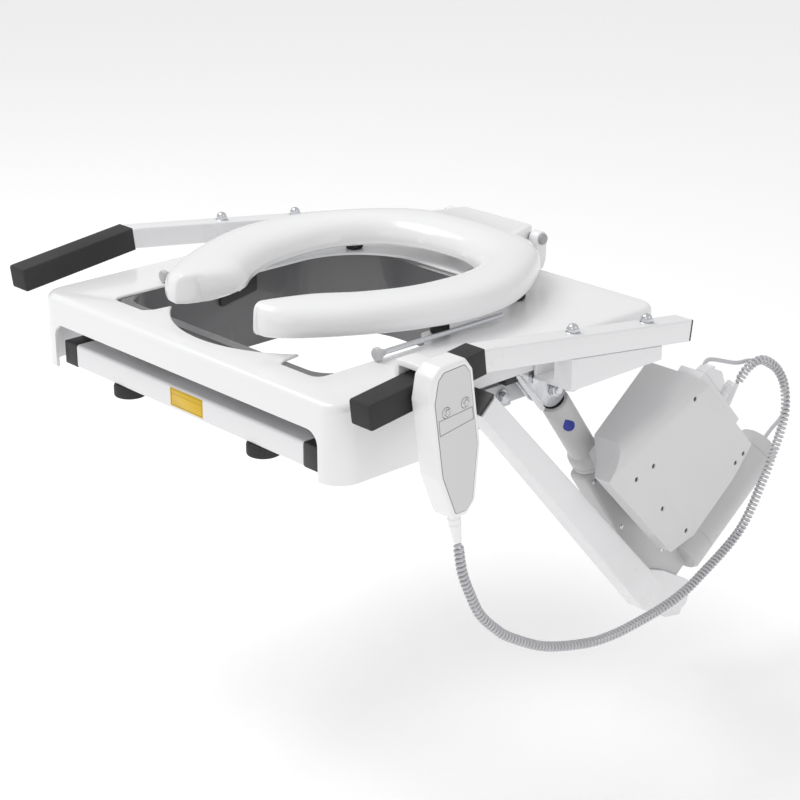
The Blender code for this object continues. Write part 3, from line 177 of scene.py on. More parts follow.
def surfaced(
    name,
    light,
    dark,
    rough,
    grain,
    relief,
    metal=0.0,
    gloss=0.0,
    drift=9.0,
    stretch=(1.0, 1.0, 1.0),
):
    """A finish that drifts between two near tones and two sheens, with a fine grain in its relief."""
    material = bpy.data.materials.new(name)
    material.use_nodes = True
    nodes = material.node_tree.nodes
    links = material.node_tree.links
    shader = nodes["Principled BSDF"]
    shader.inputs["Metallic"].default_value = metal
    shader.inputs["Coat Weight"].default_value = gloss
    shader.inputs["Coat Roughness"].default_value = 0.06
    place = nodes.new("ShaderNodeTexCoord")
    pulled = nodes.new("ShaderNodeMapping")
    pulled.inputs["Scale"].default_value = stretch
    patches = nodes.new("ShaderNodeTexNoise")
    patches.inputs["Scale"].default_value = drift
    patches.inputs["Detail"].default_value = 4.0
    tone = nodes.new("ShaderNodeMix")
    tone.data_type = "RGBA"
    tone.inputs["A"].default_value = (*light, 1.0)
    tone.inputs["B"].default_value = (*dark, 1.0)
    sheen = nodes.new("ShaderNodeMapRange")
    sheen.inputs["From Min"].default_value = 0.3
    sheen.inputs["From Max"].default_value = 0.7
    sheen.inputs["To Min"].default_value = rough * 0.85
    sheen.inputs["To Max"].default_value = rough * 1.2
    fine = nodes.new("ShaderNodeTexNoise")
    fine.inputs["Scale"].default_value = grain
    fine.inputs["Detail"].default_value = 3.0
    bump = nodes.new("ShaderNodeBump")
    bump.inputs["Strength"].default_value = relief
    bump.inputs["Distance"].default_value = 0.0003
    links.new(place.outputs["Object"], pulled.inputs["Vector"])
    links.new(pulled.outputs["Vector"], patches.inputs["Vector"])
    links.new(pulled.outputs["Vector"], fine.inputs["Vector"])
    links.new(patches.outputs["Fac"], tone.inputs["Factor"])
    links.new(patches.outputs["Fac"], sheen.inputs["Value"])
    links.new(fine.outputs["Fac"], bump.inputs["Height"])
    links.new(tone.outputs["Result"], shader.inputs["Base Color"])
    links.new(sheen.outputs["Result"], shader.inputs["Roughness"])
    links.new(bump.outputs["Normal"], shader.inputs["Normal"])
    return material


def fitted(obj, body, slot, finish, *nodes):
    """Gives a piece its finish, hangs it on its body, and lets it stand for its plain solids."""
    obj.data.materials.clear()
    obj.data.materials.append(finish)
    if body:
        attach(obj, body)
    if nodes:
        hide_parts(*nodes)
    return obj


cord_grey = surfaced("cord_sheath_grey", (0.60, 0.60, 0.62), (0.52, 0.52, 0.54), 0.42, 900.0, 0.15)
cord_line = smooth_line(CORD_ROUTE, 0.002)
wire = wound(cord_line, WINDING, WINDING_PITCH, 14)
per_metre = len(wire) / run_length(cord_line)
first_cut = int(0.13 * per_metre)
second_cut = int(0.46 * per_metre)
cord_runs = (
    ("cord_top_run", wire[: first_cut + 1], "handset", "lift_frame"),
    ("cord_hanging_run", wire[first_cut : second_cut + 1], "lift_frame", "base"),
    ("cord_rear_run", wire[second_cut:], "base", "actuator"),
)
for name, points, above, below in cord_runs:
    run = fitted(sheathed(name, points, SHEATH / 2, 7), None, "grey_cord", cord_grey)
    start, end = points[0], points[-1]
    if name == "cord_rear_run":
        start, end = Vector((0.348, -0.095, -0.241)), Vector((0.330, 0.161, -0.143))
    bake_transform(run)
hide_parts("handset_cord_front")
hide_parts("handset_cord_rear")

# Motor cable: a plain round lead from its plug on the control box to the end of the motor.
FOOT = Vector((0.242, 0.101, -0.302))
CLEVIS = Vector((0.242, -0.136, 0.032))
DOWN = (FOOT - CLEVIS).normalized()
REAR = Vector((0.0, -DOWN.z, DOWN.y))
STRIP_START = Vector((0.0, 0.0485, 0.0120))
STRIP_WAY = (Vector((0.0, 0.1400, -0.0870)) - STRIP_START).normalized()
STRIP_UP = Vector((0.0, -STRIP_WAY.z, STRIP_WAY.y))
MOTOR_REACH = 0.222


def on_actuator(far, out=0.0, x=0.242):
    """A point in the actuator's own plane: far down from the top pin, and out to the rear."""
    point = CLEVIS + DOWN * far + REAR * out
    return Vector((x, point.y, point.z))


def on_strip(far, up, x):
    """A point on the box's edge where the sockets are: far along it and up from it."""
    point = STRIP_START + STRIP_WAY * far + STRIP_UP * up
    return Vector((x, point.y, point.z))


cable_route = (
    on_strip(0.030, 0.0262, 0.287), on_strip(0.030, 0.040, 0.287), (0.286, 0.150, 0.000), (
        0.286, 0.178, -0.004
    ),
    (0.285, 0.206, -0.014), (0.283, 0.240, -0.036), (0.278, 0.268, -0.070), (0.269, 0.280, -0.104),
    on_actuator(0.360, MOTOR_REACH + 0.014, 0.262), on_actuator(0.360, MOTOR_REACH + 0.0003, 0.262),
)
cable_line = smooth_line(cable_route, 0.003)
cable = fitted(
    sheathed("motor_lead", cable_line, 0.0025, 12),
    "actuator",
    "grey_cord",
    cord_grey,
    "motor_cable",
)


# Base: a front crossbar with black end plugs, two side rails and a rear bar, all 30 x 28 mm welded steel tube with a
# white powder coat. A plain yellow sticker sits on the crossbar's face.
GAP = 0.0003


def rounded(u0, u1, v0, v1, radius, steps=4):
    """A rectangle with round corners, as a list of points."""
    points = []
    corners = ((u1, v1, 0), (u0, v1, 90), (u0, v0, 180), (u1, v0, 270))
    for u, v, start in corners:
        cu = u + (radius if u == u0 else -radius)
        cv = v + (radius if v == v0 else -radius)
        for k in range(steps + 1):
            turn = radians(start + 90 * k / steps)
            points.append((cu + radius * cos(turn), cv + radius * sin(turn)))
    return points


def turned_to(axis, u, v, w):
    """A point drawn across one axis, w along it."""
    if axis == "X":
        return Vector((w, u, v))
    if axis == "Y":
        return Vector((u, w, v))
    return Vector((u, v, w))


def square_tube(name, low, high, axis, corner=0.0035, wall=0.0018):
    """An open-ended square tube with round corners along X or Y."""
    a, b = {"X": (1, 2), "Y": (0, 2)}[axis]
    w0, w1 = low["XYZ".index(axis)], high["XYZ".index(axis)]
    outer = rounded(low[a], high[a], low[b], high[b], corner)
    inner = rounded(low[a] + wall, high[a] - wall, low[b] + wall, high[b] - wall, corner - wall * 0.7)
    bm = bmesh.new()
    loops = []
    for outline, w in ((outer, w0), (outer, w1), (inner, w1), (inner, w0)):
        loops.append([bm.verts.new(turned_to(axis, u, v, w)) for u, v in outline])
    count = len(outer)
    for first, second in zip(loops, loops[1:] + loops[:1]):
        for k in range(count):
            bm.faces.new((first[k], first[(k + 1) % count], second[(k + 1) % count], second[k]))
    return shaped(name, bm)


def block(name, low, high, edge, steps=3):
    """A solid block with its edges rounded."""
    low, high = Vector(low), Vector(high)
    bm = bmesh.new()
    bmesh.ops.create_cube(bm, size=1.0)
    bmesh.ops.scale(bm, vec=high - low, verts=bm.verts)
    bmesh.ops.translate(bm, vec=(low + high) / 2, verts=bm.verts)
    bmesh.ops.bevel(bm, geom=bm.edges[:], offset=edge, segments=steps, profile=0.5, affect="EDGES")
    return shaped(name, bm, 50)


def merged(name, *pieces):
    """Several pieces of one finish as one object."""
    bm = bmesh.new()
    for piece in pieces:
        evaluated = piece.evaluated_get(bpy.context.evaluated_depsgraph_get())
        mesh = bpy.data.meshes.new_from_object(evaluated)
        mesh.transform(piece.matrix_world)
        bm.from_mesh(mesh)
        bpy.data.meshes.remove(mesh)
        bpy.data.objects.remove(piece, do_unlink=True)
    mesh = bpy.data.meshes.new(name)
    bm.to_mesh(mesh)
    bm.free()
    obj = bpy.data.objects.new(name, mesh)
    bpy.context.scene.collection.objects.link(obj)
    return obj


powder_white = surfaced(
    "white_powder_coat",
    (0.86, 0.86, 0.87),
    (0.81, 0.81, 0.825),
    0.30,
    1100.0,
    0.10,
    gloss=0.15,
)
plug_black = surfaced("black_end_plug", (0.016, 0.016, 0.017), (0.026, 0.026, 0.027), 0.42, 1500.0, 0.2)
crossbar_low, crossbar_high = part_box("front_crossbar")
fitted(
    square_tube("crossbar_tube", crossbar_low, crossbar_high, "X"),
    "base", "white_paint", powder_white, "front_crossbar",
)
for side in ("left", "right"):
    low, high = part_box("crossbar_cap_" + side)
    outside = -1 if side == "left" else 1
    x0, x1 = sorted((outside * 0.2025, outside * 0.2275))
    cap = block("end_cap_" + side, (x0, low.y, low.z), (x1, high.y, high.z), 0.0016)
    x0, x1 = sorted((outside * 0.1885, outside * 0.2030))
    shank = block(
        "cap_shank",
        (x0, low.y + 0.0022, low.z + 0.0022),
        (x1, high.y - 0.0022, high.z - 0.0022),
        0.0006,
        1,
    )
    fitted(
        merged("crossbar_end_plug_" + side, cap, shank),
        "base",
        "black_plastic",
        plug_black,
        "crossbar_cap_" + side,
    )
    low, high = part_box("base_rail_" + side)
    rail = square_tube("side_rail_" + side, low, high, "Y")
    fitted(rail, "base", "white_paint", powder_white, "base_rail_" + side)
low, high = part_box("rear_bar")
fitted(square_tube("rear_crossbar", low, high, "X"), "base", "white_paint", powder_white, "rear_bar")

sticker_yellow = surfaced("yellow_sticker", (0.80, 0.52, 0.02), (0.74, 0.47, 0.02), 0.35, 700.0, 0.05)
sticker_ink = surfaced("sticker_border", (0.30, 0.19, 0.01), (0.26, 0.16, 0.01), 0.4, 700.0, 0.05)
face_y = crossbar_low.y
sticker = block(
    "crossbar_sticker",
    (-0.023, face_y - 0.0002, 0.0185),
    (0.035, face_y + 0.0001, 0.0400),
    0.00009,
    1,
)
fitted(sticker, "base", "white_paint", sticker_yellow)
border = []
for x0, x1, z0, z1 in (
    (-0.0215, 0.0335, 0.0382, 0.0387), (-0.0215, 0.0335, 0.0198, 0.0203),
    (-0.0215, -0.0210, 0.0198, 0.0387), (0.0330, 0.0335, 0.0198, 0.0387), (-0.0215, 0.0335, 0.0330, 0.0334),
):
    border.append(block("border_line", (x0, face_y - 0.00026, z0), (x1, face_y - 0.0001, z1), 0.00004, 1))
fitted(merged("sticker_lines", *border), "base", "white_paint", sticker_ink)


# Rests and fixings of the base: a plated steel plate over a rubber pad at the rear, clamped by the seat's own two
# bolts with round nuts below, and two rubber feet under the crossbar.
def drawn(name, outline, axis, low, high, edge, steps=3, crease=38, low_edge=None):
    """A flat outline thickened along one axis, its rims rounded over by the edge."""
    area = sum(a[0] * b[1] - b[0] * a[1] for a, b in zip(outline, outline[1:] + outline[:1]))
    points = [Vector(p) for p in (outline if area > 0 else outline[::-1])]
    low_edge = edge if low_edge is None else low_edge
    rims = [(sin(pi / 2 * k / steps) - 1, 1 - cos(pi / 2 * k / steps)) for k in range(steps + 1)]
    levels = [(inset * low_edge, low + rise * low_edge) for inset, rise in rims]
    levels += [(inset * edge, high - rise * edge) for inset, rise in rims[::-1]]
    if edge <= 0:
        levels = [(0.0, low), (0.0, high)]
    count = len(points)
    outward = []
    for k in range(count):
        before = (points[k] - points[k - 1]).normalized()
        after = (points[(k + 1) % count] - points[k]).normalized()
        normal = Vector((before.y + after.y, -before.x - after.x)).normalized()
        outward.append(normal / max(normal.dot(Vector((before.y, -before.x))), 0.5))
    bm = bmesh.new()
    rings = []
    for inset, w in levels:
        rings.append([bm.verts.new(turned_to(axis, *(p + n * inset), w)) for p, n in zip(points, outward)])
    for a, b in zip(rings, rings[1:]):
        for k in range(count):
            bm.faces.new((a[k], a[(k + 1) % count], b[(k + 1) % count], b[k]))
    bm.faces.new(rings[0][::-1])
    bm.faces.new(rings[-1])
    return shaped(name, bm, crease)


def less(obj, *cutters):
    """Cuts other shapes out of a piece and clears them away."""
    for cutter in cutters:
        cut = obj.modifiers.new("cut", "BOOLEAN")
        cut.operation = "DIFFERENCE"
        cut.solver = "EXACT"
        cut.object = cutter
    return settled(obj, *cutters)


def settled(obj, *helpers):
    """Applies a piece's modifiers and removes the shapes that they used."""
    bpy.context.view_layer.update()
    evaluated = obj.evaluated_get(bpy.context.evaluated_depsgraph_get())
    mesh = bpy.data.meshes.new_from_object(evaluated)
    obj.modifiers.clear()
    mesh.shade_smooth()
    mesh.set_sharp_from_angle(angle=radians(30))
    obj.data = mesh
    for helper in helpers:
        bpy.data.objects.remove(helper, do_unlink=True)
    return obj


def spun(name, start, end, profile, sides=28, crease=38):
    """A piece turned round the line from start to end: the profile holds (distance along, radius) pairs."""
    start, end = Vector(start), Vector(end)
    bm = bmesh.new()
    outline = [(profile[0][0], 0.0)] + list(profile) + [(profile[-1][0], 0.0)]
    points = [bm.verts.new((radius, 0.0, far)) for far, radius in outline]
    edges = [bm.edges.new(pair) for pair in zip(points, points[1:])]
    bmesh.ops.spin(
        bm, geom=points + edges, cent=(0, 0, 0), axis=(0, 0, 1), angle=2 * pi, steps=sides, use_merge=True
    )
    bmesh.ops.remove_doubles(bm, verts=bm.verts, dist=0.000004)
    turn = (end - start).to_track_quat("Z", "Y").to_matrix().to_4x4()
    bmesh.ops.transform(bm, matrix=Matrix.Translation(start) @ turn, verts=bm.verts)
    return shaped(name, bm, crease)


def straight_rod(name, start, end, radius, sides=28):
    length = (Vector(end) - Vector(start)).length
    edge = min(radius * 0.18, length * 0.2)
    return spun(
        name,
        start,
        end,
        ((0.0, radius - edge), (edge, radius), (length - edge, radius), (length, radius - edge)),
        sides,
    )


plated = surfaced(
    "bright_zinc_plate",
    (0.72, 0.73, 0.75),
    (0.60, 0.61, 0.64),
    0.20,
    500.0,
    0.25,
    metal=1.0,
    drift=30.0,
)
rubber_black = surfaced("black_rubber", (0.022, 0.022, 0.023), (0.032, 0.032, 0.033), 0.75, 1400.0, 0.35)
plate_outline = rounded(-0.130, 0.130, -0.045, 0.045, 0.012, 8)
slots = {}
for kind in ("plate", "pad"):
    slots[kind] = []
    for x in (-0.070, 0.070):
        outline = rounded(x - 0.015, x + 0.015, 0.012 - 0.0055, 0.012 + 0.0055, 0.0054, 6)
        slots[kind].append(drawn("bolt_slot", outline, "Z", -0.01, 0.03, 0.0))
low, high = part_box("rear_plate")
plate = less(drawn("clamp_plate", plate_outline, "Z", low.z, high.z, 0.0006, 2), *slots["plate"])
fitted(plate, "base", "zinc", plated, "rear_plate")
low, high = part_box("rear_pad")
pad = less(drawn("rubber_pad", plate_outline, "Z", low.z, high.z, 0.001, 2), *slots["pad"])
fitted(pad, "base", "black_rubber", rubber_black, "rear_pad")
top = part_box("rear_plate")[1].z
for side, x in (("left", -0.070), ("right", 0.070)):
    low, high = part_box("seat_bolt_" + side)
    bolt = spun(
        "seat_clamp_bolt_" + side,
        (x, 0.012, low.z),
        (x, 0.012, high.z),
        (
            (0.0, 0.003), (0.0008, 0.004), (0.004, 0.004), (0.0042, 0.0122), (0.0052, 0.013), (
                0.0105, 0.0120
            ),
            (0.0118, 0.0108), (0.012, 0.004), (top + GAP - low.z, 0.004), (top + GAP - low.z, 0.009),
            (top + 0.0012 - low.z, 0.0095), (top + 0.0028 - low.z, 0.0091), (top + 0.0046 - low.z, 0.0072),
            (high.z - low.z, 0.004),
        ),
    )
    fitted(bolt, "base", "zinc", plated, "seat_bolt_" + side)
    low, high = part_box("rim_pad_" + side)
    middle = (low + high) / 2
    radius = (high.x - low.x) / 2
    foot = spun(
        "rubber_foot_" + side,
        (middle.x, middle.y, low.z),
        (middle.x, middle.y, high.z),
        ((0.0, radius - 0.0018), (0.0006, radius - 0.0006), (0.0018, radius), (0.0115, radius), (
            0.0133, radius - 0.0008
        ),
         (high.z - low.z, radius - 0.0016)),
        36,
    )
    fitted(foot, "base", "black_rubber", rubber_black, "rim_pad_" + side)


# Leg: a square tube slung from the right rail down to the foot of the actuator. Its upper end has a black plug, a
# small bracket bolts it to the rail, and a folded steel bracket at the bottom takes the actuator's foot pin.
LEG = ((-0.264, 0.066), (0.032, -0.253), (0.021, -0.280), (-0.002, -0.276), (-0.284, 0.048))
leg_way = Vector((LEG[1][0] - LEG[0][0], LEG[1][1] - LEG[0][1])).normalized()
leg_side = Vector((-leg_way.y, leg_way.x))
leg_top = Vector(((LEG[0][0] + LEG[4][0]) / 2, (LEG[0][1] + LEG[4][1]) / 2))
leg_half = (Vector(LEG[0]) - Vector(LEG[4])).length / 2


def leg_outline(start, end, half):
    corners = ((start, half), (end, half), (end, -half), (start, -half))
    return [tuple(leg_top + leg_way * far + leg_side * out) for far, out in corners]


leg = drawn("leg_square_tube", list(LEG), "X", 0.262, 0.290, 0.0022)
leg = less(leg, drawn("leg_bore", leg_outline(-0.02, 0.398, leg_half - 0.0018), "X", 0.2638, 0.2882, 0.0))
fitted(leg, "base", "white_paint", powder_white, "leg_tube")
cap = merged(
    "leg_end_plug",
    drawn("leg_plug", leg_outline(-0.005, -0.002, leg_half), "X", 0.262, 0.290, 0.0008),
    drawn("leg_shank", leg_outline(-0.003, 0.014, leg_half - 0.0028), "X", 0.2648, 0.2872, 0.0004, 1),
)
fitted(cap, "base", "black_plastic", plug_black, "leg_cap")
RAIL_SIDE = 0.2205 + GAP
bracket = merged(
    "leg_hanger",
    block("hanger_plate", (RAIL_SIDE, -0.250, 0.014), (RAIL_SIDE + 0.004, -0.172, 0.042), 0.0010),
    drawn(
        "hanger_arm", [(-0.250, 0.040), (-0.250, 0.014), (-0.225, 0.014), (-0.225, 0.018)], "X",
        RAIL_SIDE + 0.002, 0.262 - GAP, 0.0008, 2,
    ),
)
fitted(bracket, "base", "white_paint", powder_white, "leg_bracket")


def hexagon(name, start, way, radius, depth):
    """A six-sided nut or bolt head with its corners chamfered."""
    bm = bmesh.new()
    rings = []
    for far, scale in ((0.0, 0.94), (depth * 0.14, 1.0), (depth * 0.82, 1.0), (depth, 0.90)):
        ring = []
        for k in range(6):
            turn = pi / 3 * k + pi / 6
            ring.append(bm.verts.new((radius * scale * cos(turn), radius * scale * sin(turn), far)))
        rings.append(ring)
    for a, b in zip(rings, rings[1:]):
        for k in range(6):
            bm.faces.new((a[k], a[(k + 1) % 6], b[(k + 1) % 6], b[k]))
    bm.faces.new(rings[0][::-1])
    bm.faces.new(rings[-1])
    turn = Vector(way).to_track_quat("Z", "Y").to_matrix().to_4x4()
    bmesh.ops.transform(bm, matrix=Matrix.Translation(Vector(start)) @ turn, verts=bm.verts)
    return shaped(name, bm, 25)


low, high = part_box("bracket_bolt")
middle = (low + high) / 2
face = RAIL_SIDE + 0.004 + GAP
bolt = merged(
    "hanger_bolt",
    straight_rod("hanger_shank", (low.x, middle.y, middle.z), (high.x - 0.001, middle.y, middle.z), 0.0038),
    straight_rod("hanger_washer", (face, middle.y, middle.z), (face + 0.002, middle.y, middle.z), 0.0089),
    hexagon("hanger_head", (face + 0.002, middle.y, middle.z), (1, 0, 0), 0.0066, 0.0055),
)
fitted(bolt, "base", "zinc", plated, "bracket_bolt")


def softened(outline, radius, steps=4):
    """An outline with each of its corners replaced by an arc."""
    if not isinstance(radius, (list, tuple)):
        radius = [radius] * len(outline)
    points = []
    count = len(outline)
    for k in range(count):
        before, corner, after = (Vector(outline[(k + n - 1) % count]) for n in range(3))
        to_before = (before - corner).normalized()
        to_after = (after - corner).normalized()
        half = to_before.angle(to_after) / 2
        room = min((before - corner).length, (after - corner).length) * 0.49
        run = min(radius[k] / max(sin(half) / cos(half), 0.001), room) if half < pi / 2 - 0.01 else 0.0
        if run <= 0:
            points.append(tuple(corner))
            continue
        start, end = corner + to_before * run, corner + to_after * run
        for n in range(steps + 1):
            t = n / steps
            points.append(tuple(start * (1 - t) ** 2 + corner * 2 * t * (1 - t) + end * t**2))
    return points


def united(obj, *others):
    """Joins shapes into one closed surface."""
    for other in others:
        union = obj.modifiers.new("union", "BOOLEAN")
        union.operation = "UNION"
        union.solver = "EXACT"
        union.object = other
    return settled(obj, *others)


foot_outline = (
    (0.0, -0.246), (0.030, -0.242), (0.068, -0.257), (0.116, -0.285), (0.121, -0.300), (0.114, -0.318),
    (0.100, -0.323), (0.060, -0.316), (0.004, -0.280),
)
foot_plate = drawn("foot_plate", softened(foot_outline, 0.006), "X", 0.2573, 0.2617, 0.0008)
foot_cheek = drawn(
    "foot_cheek",
    softened(foot_outline[3:8] + ((0.075, -0.305),), 0.006),
    "X",
    0.2227,
    0.2267,
    0.0008,
)
foot_web = drawn(
    "foot_web", [(0.076, -0.324), (0.104, -0.330), (0.108, -0.3225), (0.076, -0.3165)], "X", 0.2229, 0.2600, 0.0006
)
fitted(united(foot_plate, foot_cheek, foot_web), "base", "white_paint", powder_white, "foot_bracket")
pin = merged(
    "foot_pin_bolt",
    straight_rod("foot_pin_shank", (0.2187, FOOT.y, FOOT.z), (0.264, FOOT.y, FOOT.z), 0.005),
    spun(
        "foot_pin_head",
        (0.2187, FOOT.y, FOOT.z),
        (0.2224, FOOT.y, FOOT.z),
        ((0.0, 0.0055), (0.0012, 0.0078), (0.0037, 0.008)),
    ),
)
fitted(pin, "base", "zinc", plated, "foot_pin")


# Front pivots: a shoulder bolt each side, with a spacer and a domed nut, through the base rail and the ear that is
# welded under the lift frame's rail. The rails and the crossbar behind them are 28 mm square tube.
for side in ("left", "right"):
    sign = -1 if side == "left" else 1

    def at_pivot(x, sign=sign):
        return (sign * x, -0.413, 0.028)

    pivot = merged(
        "pivot_bolt_and_nut_" + side,
        straight_rod("pivot_shank", at_pivot(0.1850), at_pivot(0.2395), 0.005),
        hexagon("pivot_head", at_pivot(0.1890), (-sign, 0, 0), 0.0086, 0.0043),
        spun(
            "pivot_spacer",
            at_pivot(0.2208),
            at_pivot(0.2275),
            ((0.0, 0.0083), (0.0004, 0.0086), (0.0063, 0.0086), (0.0067, 0.0083)),
        ),
        hexagon("pivot_nut", at_pivot(0.2331), (sign, 0, 0), 0.0088, 0.0052),
        spun(
            "pivot_dome",
            at_pivot(0.2375),
            at_pivot(0.2398),
            ((0.0, 0.0062), (0.001, 0.0056), (0.0018, 0.004), (0.0023, 0.002)),
        ),
    )
    fitted(pivot, "base", "zinc", plated, "pivot_bolt_" + side)
    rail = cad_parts["lift_rail_" + side]
    rail.data.materials.clear()
    rail.data.materials.append(powder_white)
low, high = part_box("lift_cross_bar")
fitted(
    square_tube("lift_crossbar", low, high, "X"),
    "lift_frame",
    "white_paint",
    powder_white,
    "lift_cross_bar",
)


# Seat shell: a glossy white moulding like a shallow tray turned upside down. Its top edges roll over, the front
# apron has a wide arch over the crossbar, and the opening's front edge rolls down between two horns.
moulded_white = surfaced(
    "moulded_white",
    (0.90, 0.90, 0.905),
    (0.87, 0.87, 0.88),
    0.22,
    500.0,
    0.04,
    gloss=0.35,
    drift=5.0,
)
SHELL_TOP, SKIN, APRON_BOTTOM, LIP_BOTTOM = 0.096, 0.003, 0.009, 0.082


def arc(u, v, radius, start, end, steps):
    points = []
    for k in range(steps + 1):
        turn = radians(start + (end - start) * k / steps)
        points.append((u + radius * cos(turn), v + radius * sin(turn)))
    return points


def flared(name, outline, low, top, edge):
    """A cutter through a skin, whose mouth opens out in a quarter round."""
    area = sum(a[0] * b[1] - b[0] * a[1] for a, b in zip(outline, outline[1:] + outline[:1]))
    points = [Vector(p) for p in (outline if area > 0 else outline[::-1])]
    levels = [(0.0, low)]
    for k in range(6):
        turn = pi / 2 * k / 5
        levels.append((edge * (1 - cos(turn)), top - edge + edge * sin(turn)))
    levels.append((edge, top + 0.02))
    count = len(points)
    bm = bmesh.new()
    rings = []
    for grow, z in levels:
        ring = []
        for k in range(count):
            before = (points[k] - points[k - 1]).normalized()
            after = (points[(k + 1) % count] - points[k]).normalized()
            normal = Vector((before.y + after.y, -before.x - after.x)).normalized()
            place = points[k] + normal * grow
            ring.append(bm.verts.new((place.x, place.y, z)))
        rings.append(ring)
    for a, b in zip(rings, rings[1:]):
        for k in range(count):
            bm.faces.new((a[k], a[(k + 1) % count], b[(k + 1) % count], b[k]))
    bm.faces.new(rings[0][::-1])
    bm.faces.new(rings[-1])
    return shaped(name, bm)


shell = drawn(
    "shell",
    rounded(-0.265, 0.265, -0.463, 0.033, 0.028, 14),
    "Z",
    APRON_BOTTOM,
    SHELL_TOP,
    0.0085,
    7,
    50,
    0.0012,
)
hollow = drawn(
    "shell_inside",
    rounded(-0.261, 0.261, -0.459, 0.029, 0.024, 14),
    "Z",
    -0.02,
    SHELL_TOP - SKIN,
    0.005,
    4,
)
side_profile = [
    (-0.318, -0.011), (-0.316, 0.030), (-0.310, LIP_BOTTOM - 0.012), (-0.304, LIP_BOTTOM - 0.003),
    (-0.296, LIP_BOTTOM), (0.053, LIP_BOTTOM), (0.053, -0.011),
]
side_cut = drawn("side_relief", side_profile, "X", -0.285, 0.285, 0.0)
arch_profile = (
    arc(0.218, 0.047, 0.016, 0, 90, 8) + arc(-0.218, 0.047, 0.016, 90, 180, 8) + [
        (-0.234, -0.021), (0.234, -0.021)
    ]
)
arch = drawn("front_arch", arch_profile, "Y", -0.483, -0.433, 0.0)
HORN_ARC, HORN_X = 0.160, 0.112
horn_centre = -0.383 + sqrt(HORN_ARC**2 - HORN_X**2)
horn_turn = 90 - atan2(HORN_X, sqrt(HORN_ARC**2 - HORN_X**2)) * 180 / pi
front_curve = arc(0.0, horn_centre, HORN_ARC, 180 + horn_turn, 360 - horn_turn, 36)
left_corners = [(-0.181, -0.416), (-0.122, -0.416), (-0.116, -0.406)]
right_corners = [(0.116, -0.406), (0.122, -0.416), (0.181, -0.416), (0.181, -0.262), (0.150, -0.240)]
rear_curve = arc(0.050, -0.155, 0.100, 0, 90, 20) + arc(-0.050, -0.155, 0.100, 90, 180, 20)
mouth = softened(
    left_corners + front_curve + right_corners + rear_curve + [(-0.150, -0.240), (-0.181, -0.262)],
    [0.012, 0.005, 0.005]
    + [0] * len(front_curve)
    + [0.005, 0.005, 0.012, 0.006, 0.006]
    + [0] * len(rear_curve)
    + [0.006, 0.006],
)
less(shell, hollow, side_cut, arch, flared("seat_opening", mouth, 0.05, SHELL_TOP, 0.0026))
fitted(shell, "lift_frame", "white_plastic", moulded_white, "seat_shell")


# Splash guard: a thin moulded skirt with a flange, glued up under the shell round the opening. Its dark grey is
# partly the skirt's own grey plastic and partly painted shade of the hollow under the seat. A black stop plate with a
# bolt through it stands on its left wall under the seat.
# Painted shade: the skirt's colour is set darker than its grey plastic, to show the shade inside the opening.
guard_grey = surfaced(
    "guard_grey_and_painted_shade",
    (0.105, 0.103, 0.108),
    (0.135, 0.133, 0.138),
    0.26,
    260.0,
    0.08,
    gloss=0.5,
    drift=3.0,
)
GUARD_TOP = SHELL_TOP - SKIN - GAP


def guard_line(grow):
    half, front, rear = 0.184 + grow, -0.404 - grow, -0.059 + grow
    near, back = 0.035 + grow, 0.110 + grow
    return (
        arc(half - near, front + near, near, 270, 360, 12)
        + arc(half - back, rear - back, back, 0, 90, 24)
        + arc(-half + back, rear - back, back, 90, 180, 24)
        + arc(-half + near, front + near, near, 180, 270, 12)
    )


bm = bmesh.new()
rings = []
for grow, z in (
    (0.0, -0.0112), (0.0, GUARD_TOP - 0.005), (0.002, GUARD_TOP - 0.003), (0.012, GUARD_TOP - 0.003),
    (0.012, GUARD_TOP), (-0.0015, GUARD_TOP), (-0.003, GUARD_TOP - 0.0015), (-0.003, -0.0112), (
        -0.0022, -0.012
    ),
    (-0.0008, -0.012),
):
    rings.append([bm.verts.new((x, y, z)) for x, y in guard_line(grow)])
count = len(rings[0])
for a, b in zip(rings, rings[1:] + rings[:1]):
    for k in range(count):
        bm.faces.new((a[k], a[(k + 1) % count], b[(k + 1) % count], b[k]))
fitted(shaped("guard_skirt", bm), "lift_frame", "guard_grey", guard_grey, "splash_guard")
stop_plate = drawn(
    "stop_plate", softened(
        [(-0.262, 0.050), (-0.262, 0.079), (-0.222, 0.088), (-0.205, 0.088), (-0.205, 0.060)], 0.004
    ),
    "X", -0.1808, -0.1770, 0.0006,
)
fitted(stop_plate, "lift_frame", "guard_grey", plug_black)
stop_bolt = merged(
    "stop_plate_bolt",
    hexagon("stop_nut", (-0.1770, -0.236, 0.0720), (1, 0, 0), 0.0062, 0.0045),
    spun(
        "stop_tip",
        (-0.1727, -0.236, 0.0720),
        (-0.1690, -0.236, 0.0720),
        ((0.0, 0.003), (0.003, 0.003), (0.0037, 0.0024)),
    ),
)
fitted(stop_bolt, "lift_frame", "zinc", plated)


# Guard rods: a thin plated rod along each side of the opening, with a turned light grey knob at its front end.
knob_grey = surfaced("light_grey_knob", (0.60, 0.60, 0.61), (0.52, 0.52, 0.53), 0.34, 800.0, 0.12)
for side in ("left", "right"):
    x = -0.187 if side == "left" else 0.187
    start = (x, -0.341, 0.104)
    knob = spun(
        "rod_knob_" + side,
        start,
        (x, -0.325, 0.104),
        ((0.0, 0.0056), (0.0006, 0.0068), (0.0018, 0.0076), (0.0045, 0.0077), (0.0058, 0.0070), (
            0.0064, 0.0044
        ),
         (0.0115, 0.0040), (0.0130, 0.0034)),
        36,
    )
    fitted(knob, "lift_frame", "zinc", knob_grey, "guard_rod_" + side)
    thin = straight_rod("side_rod_" + side, (x, -0.329, 0.104), (x, -0.150, 0.104), 0.003)
    fitted(thin, "lift_frame", "zinc", plated, "guard_rod_" + side)


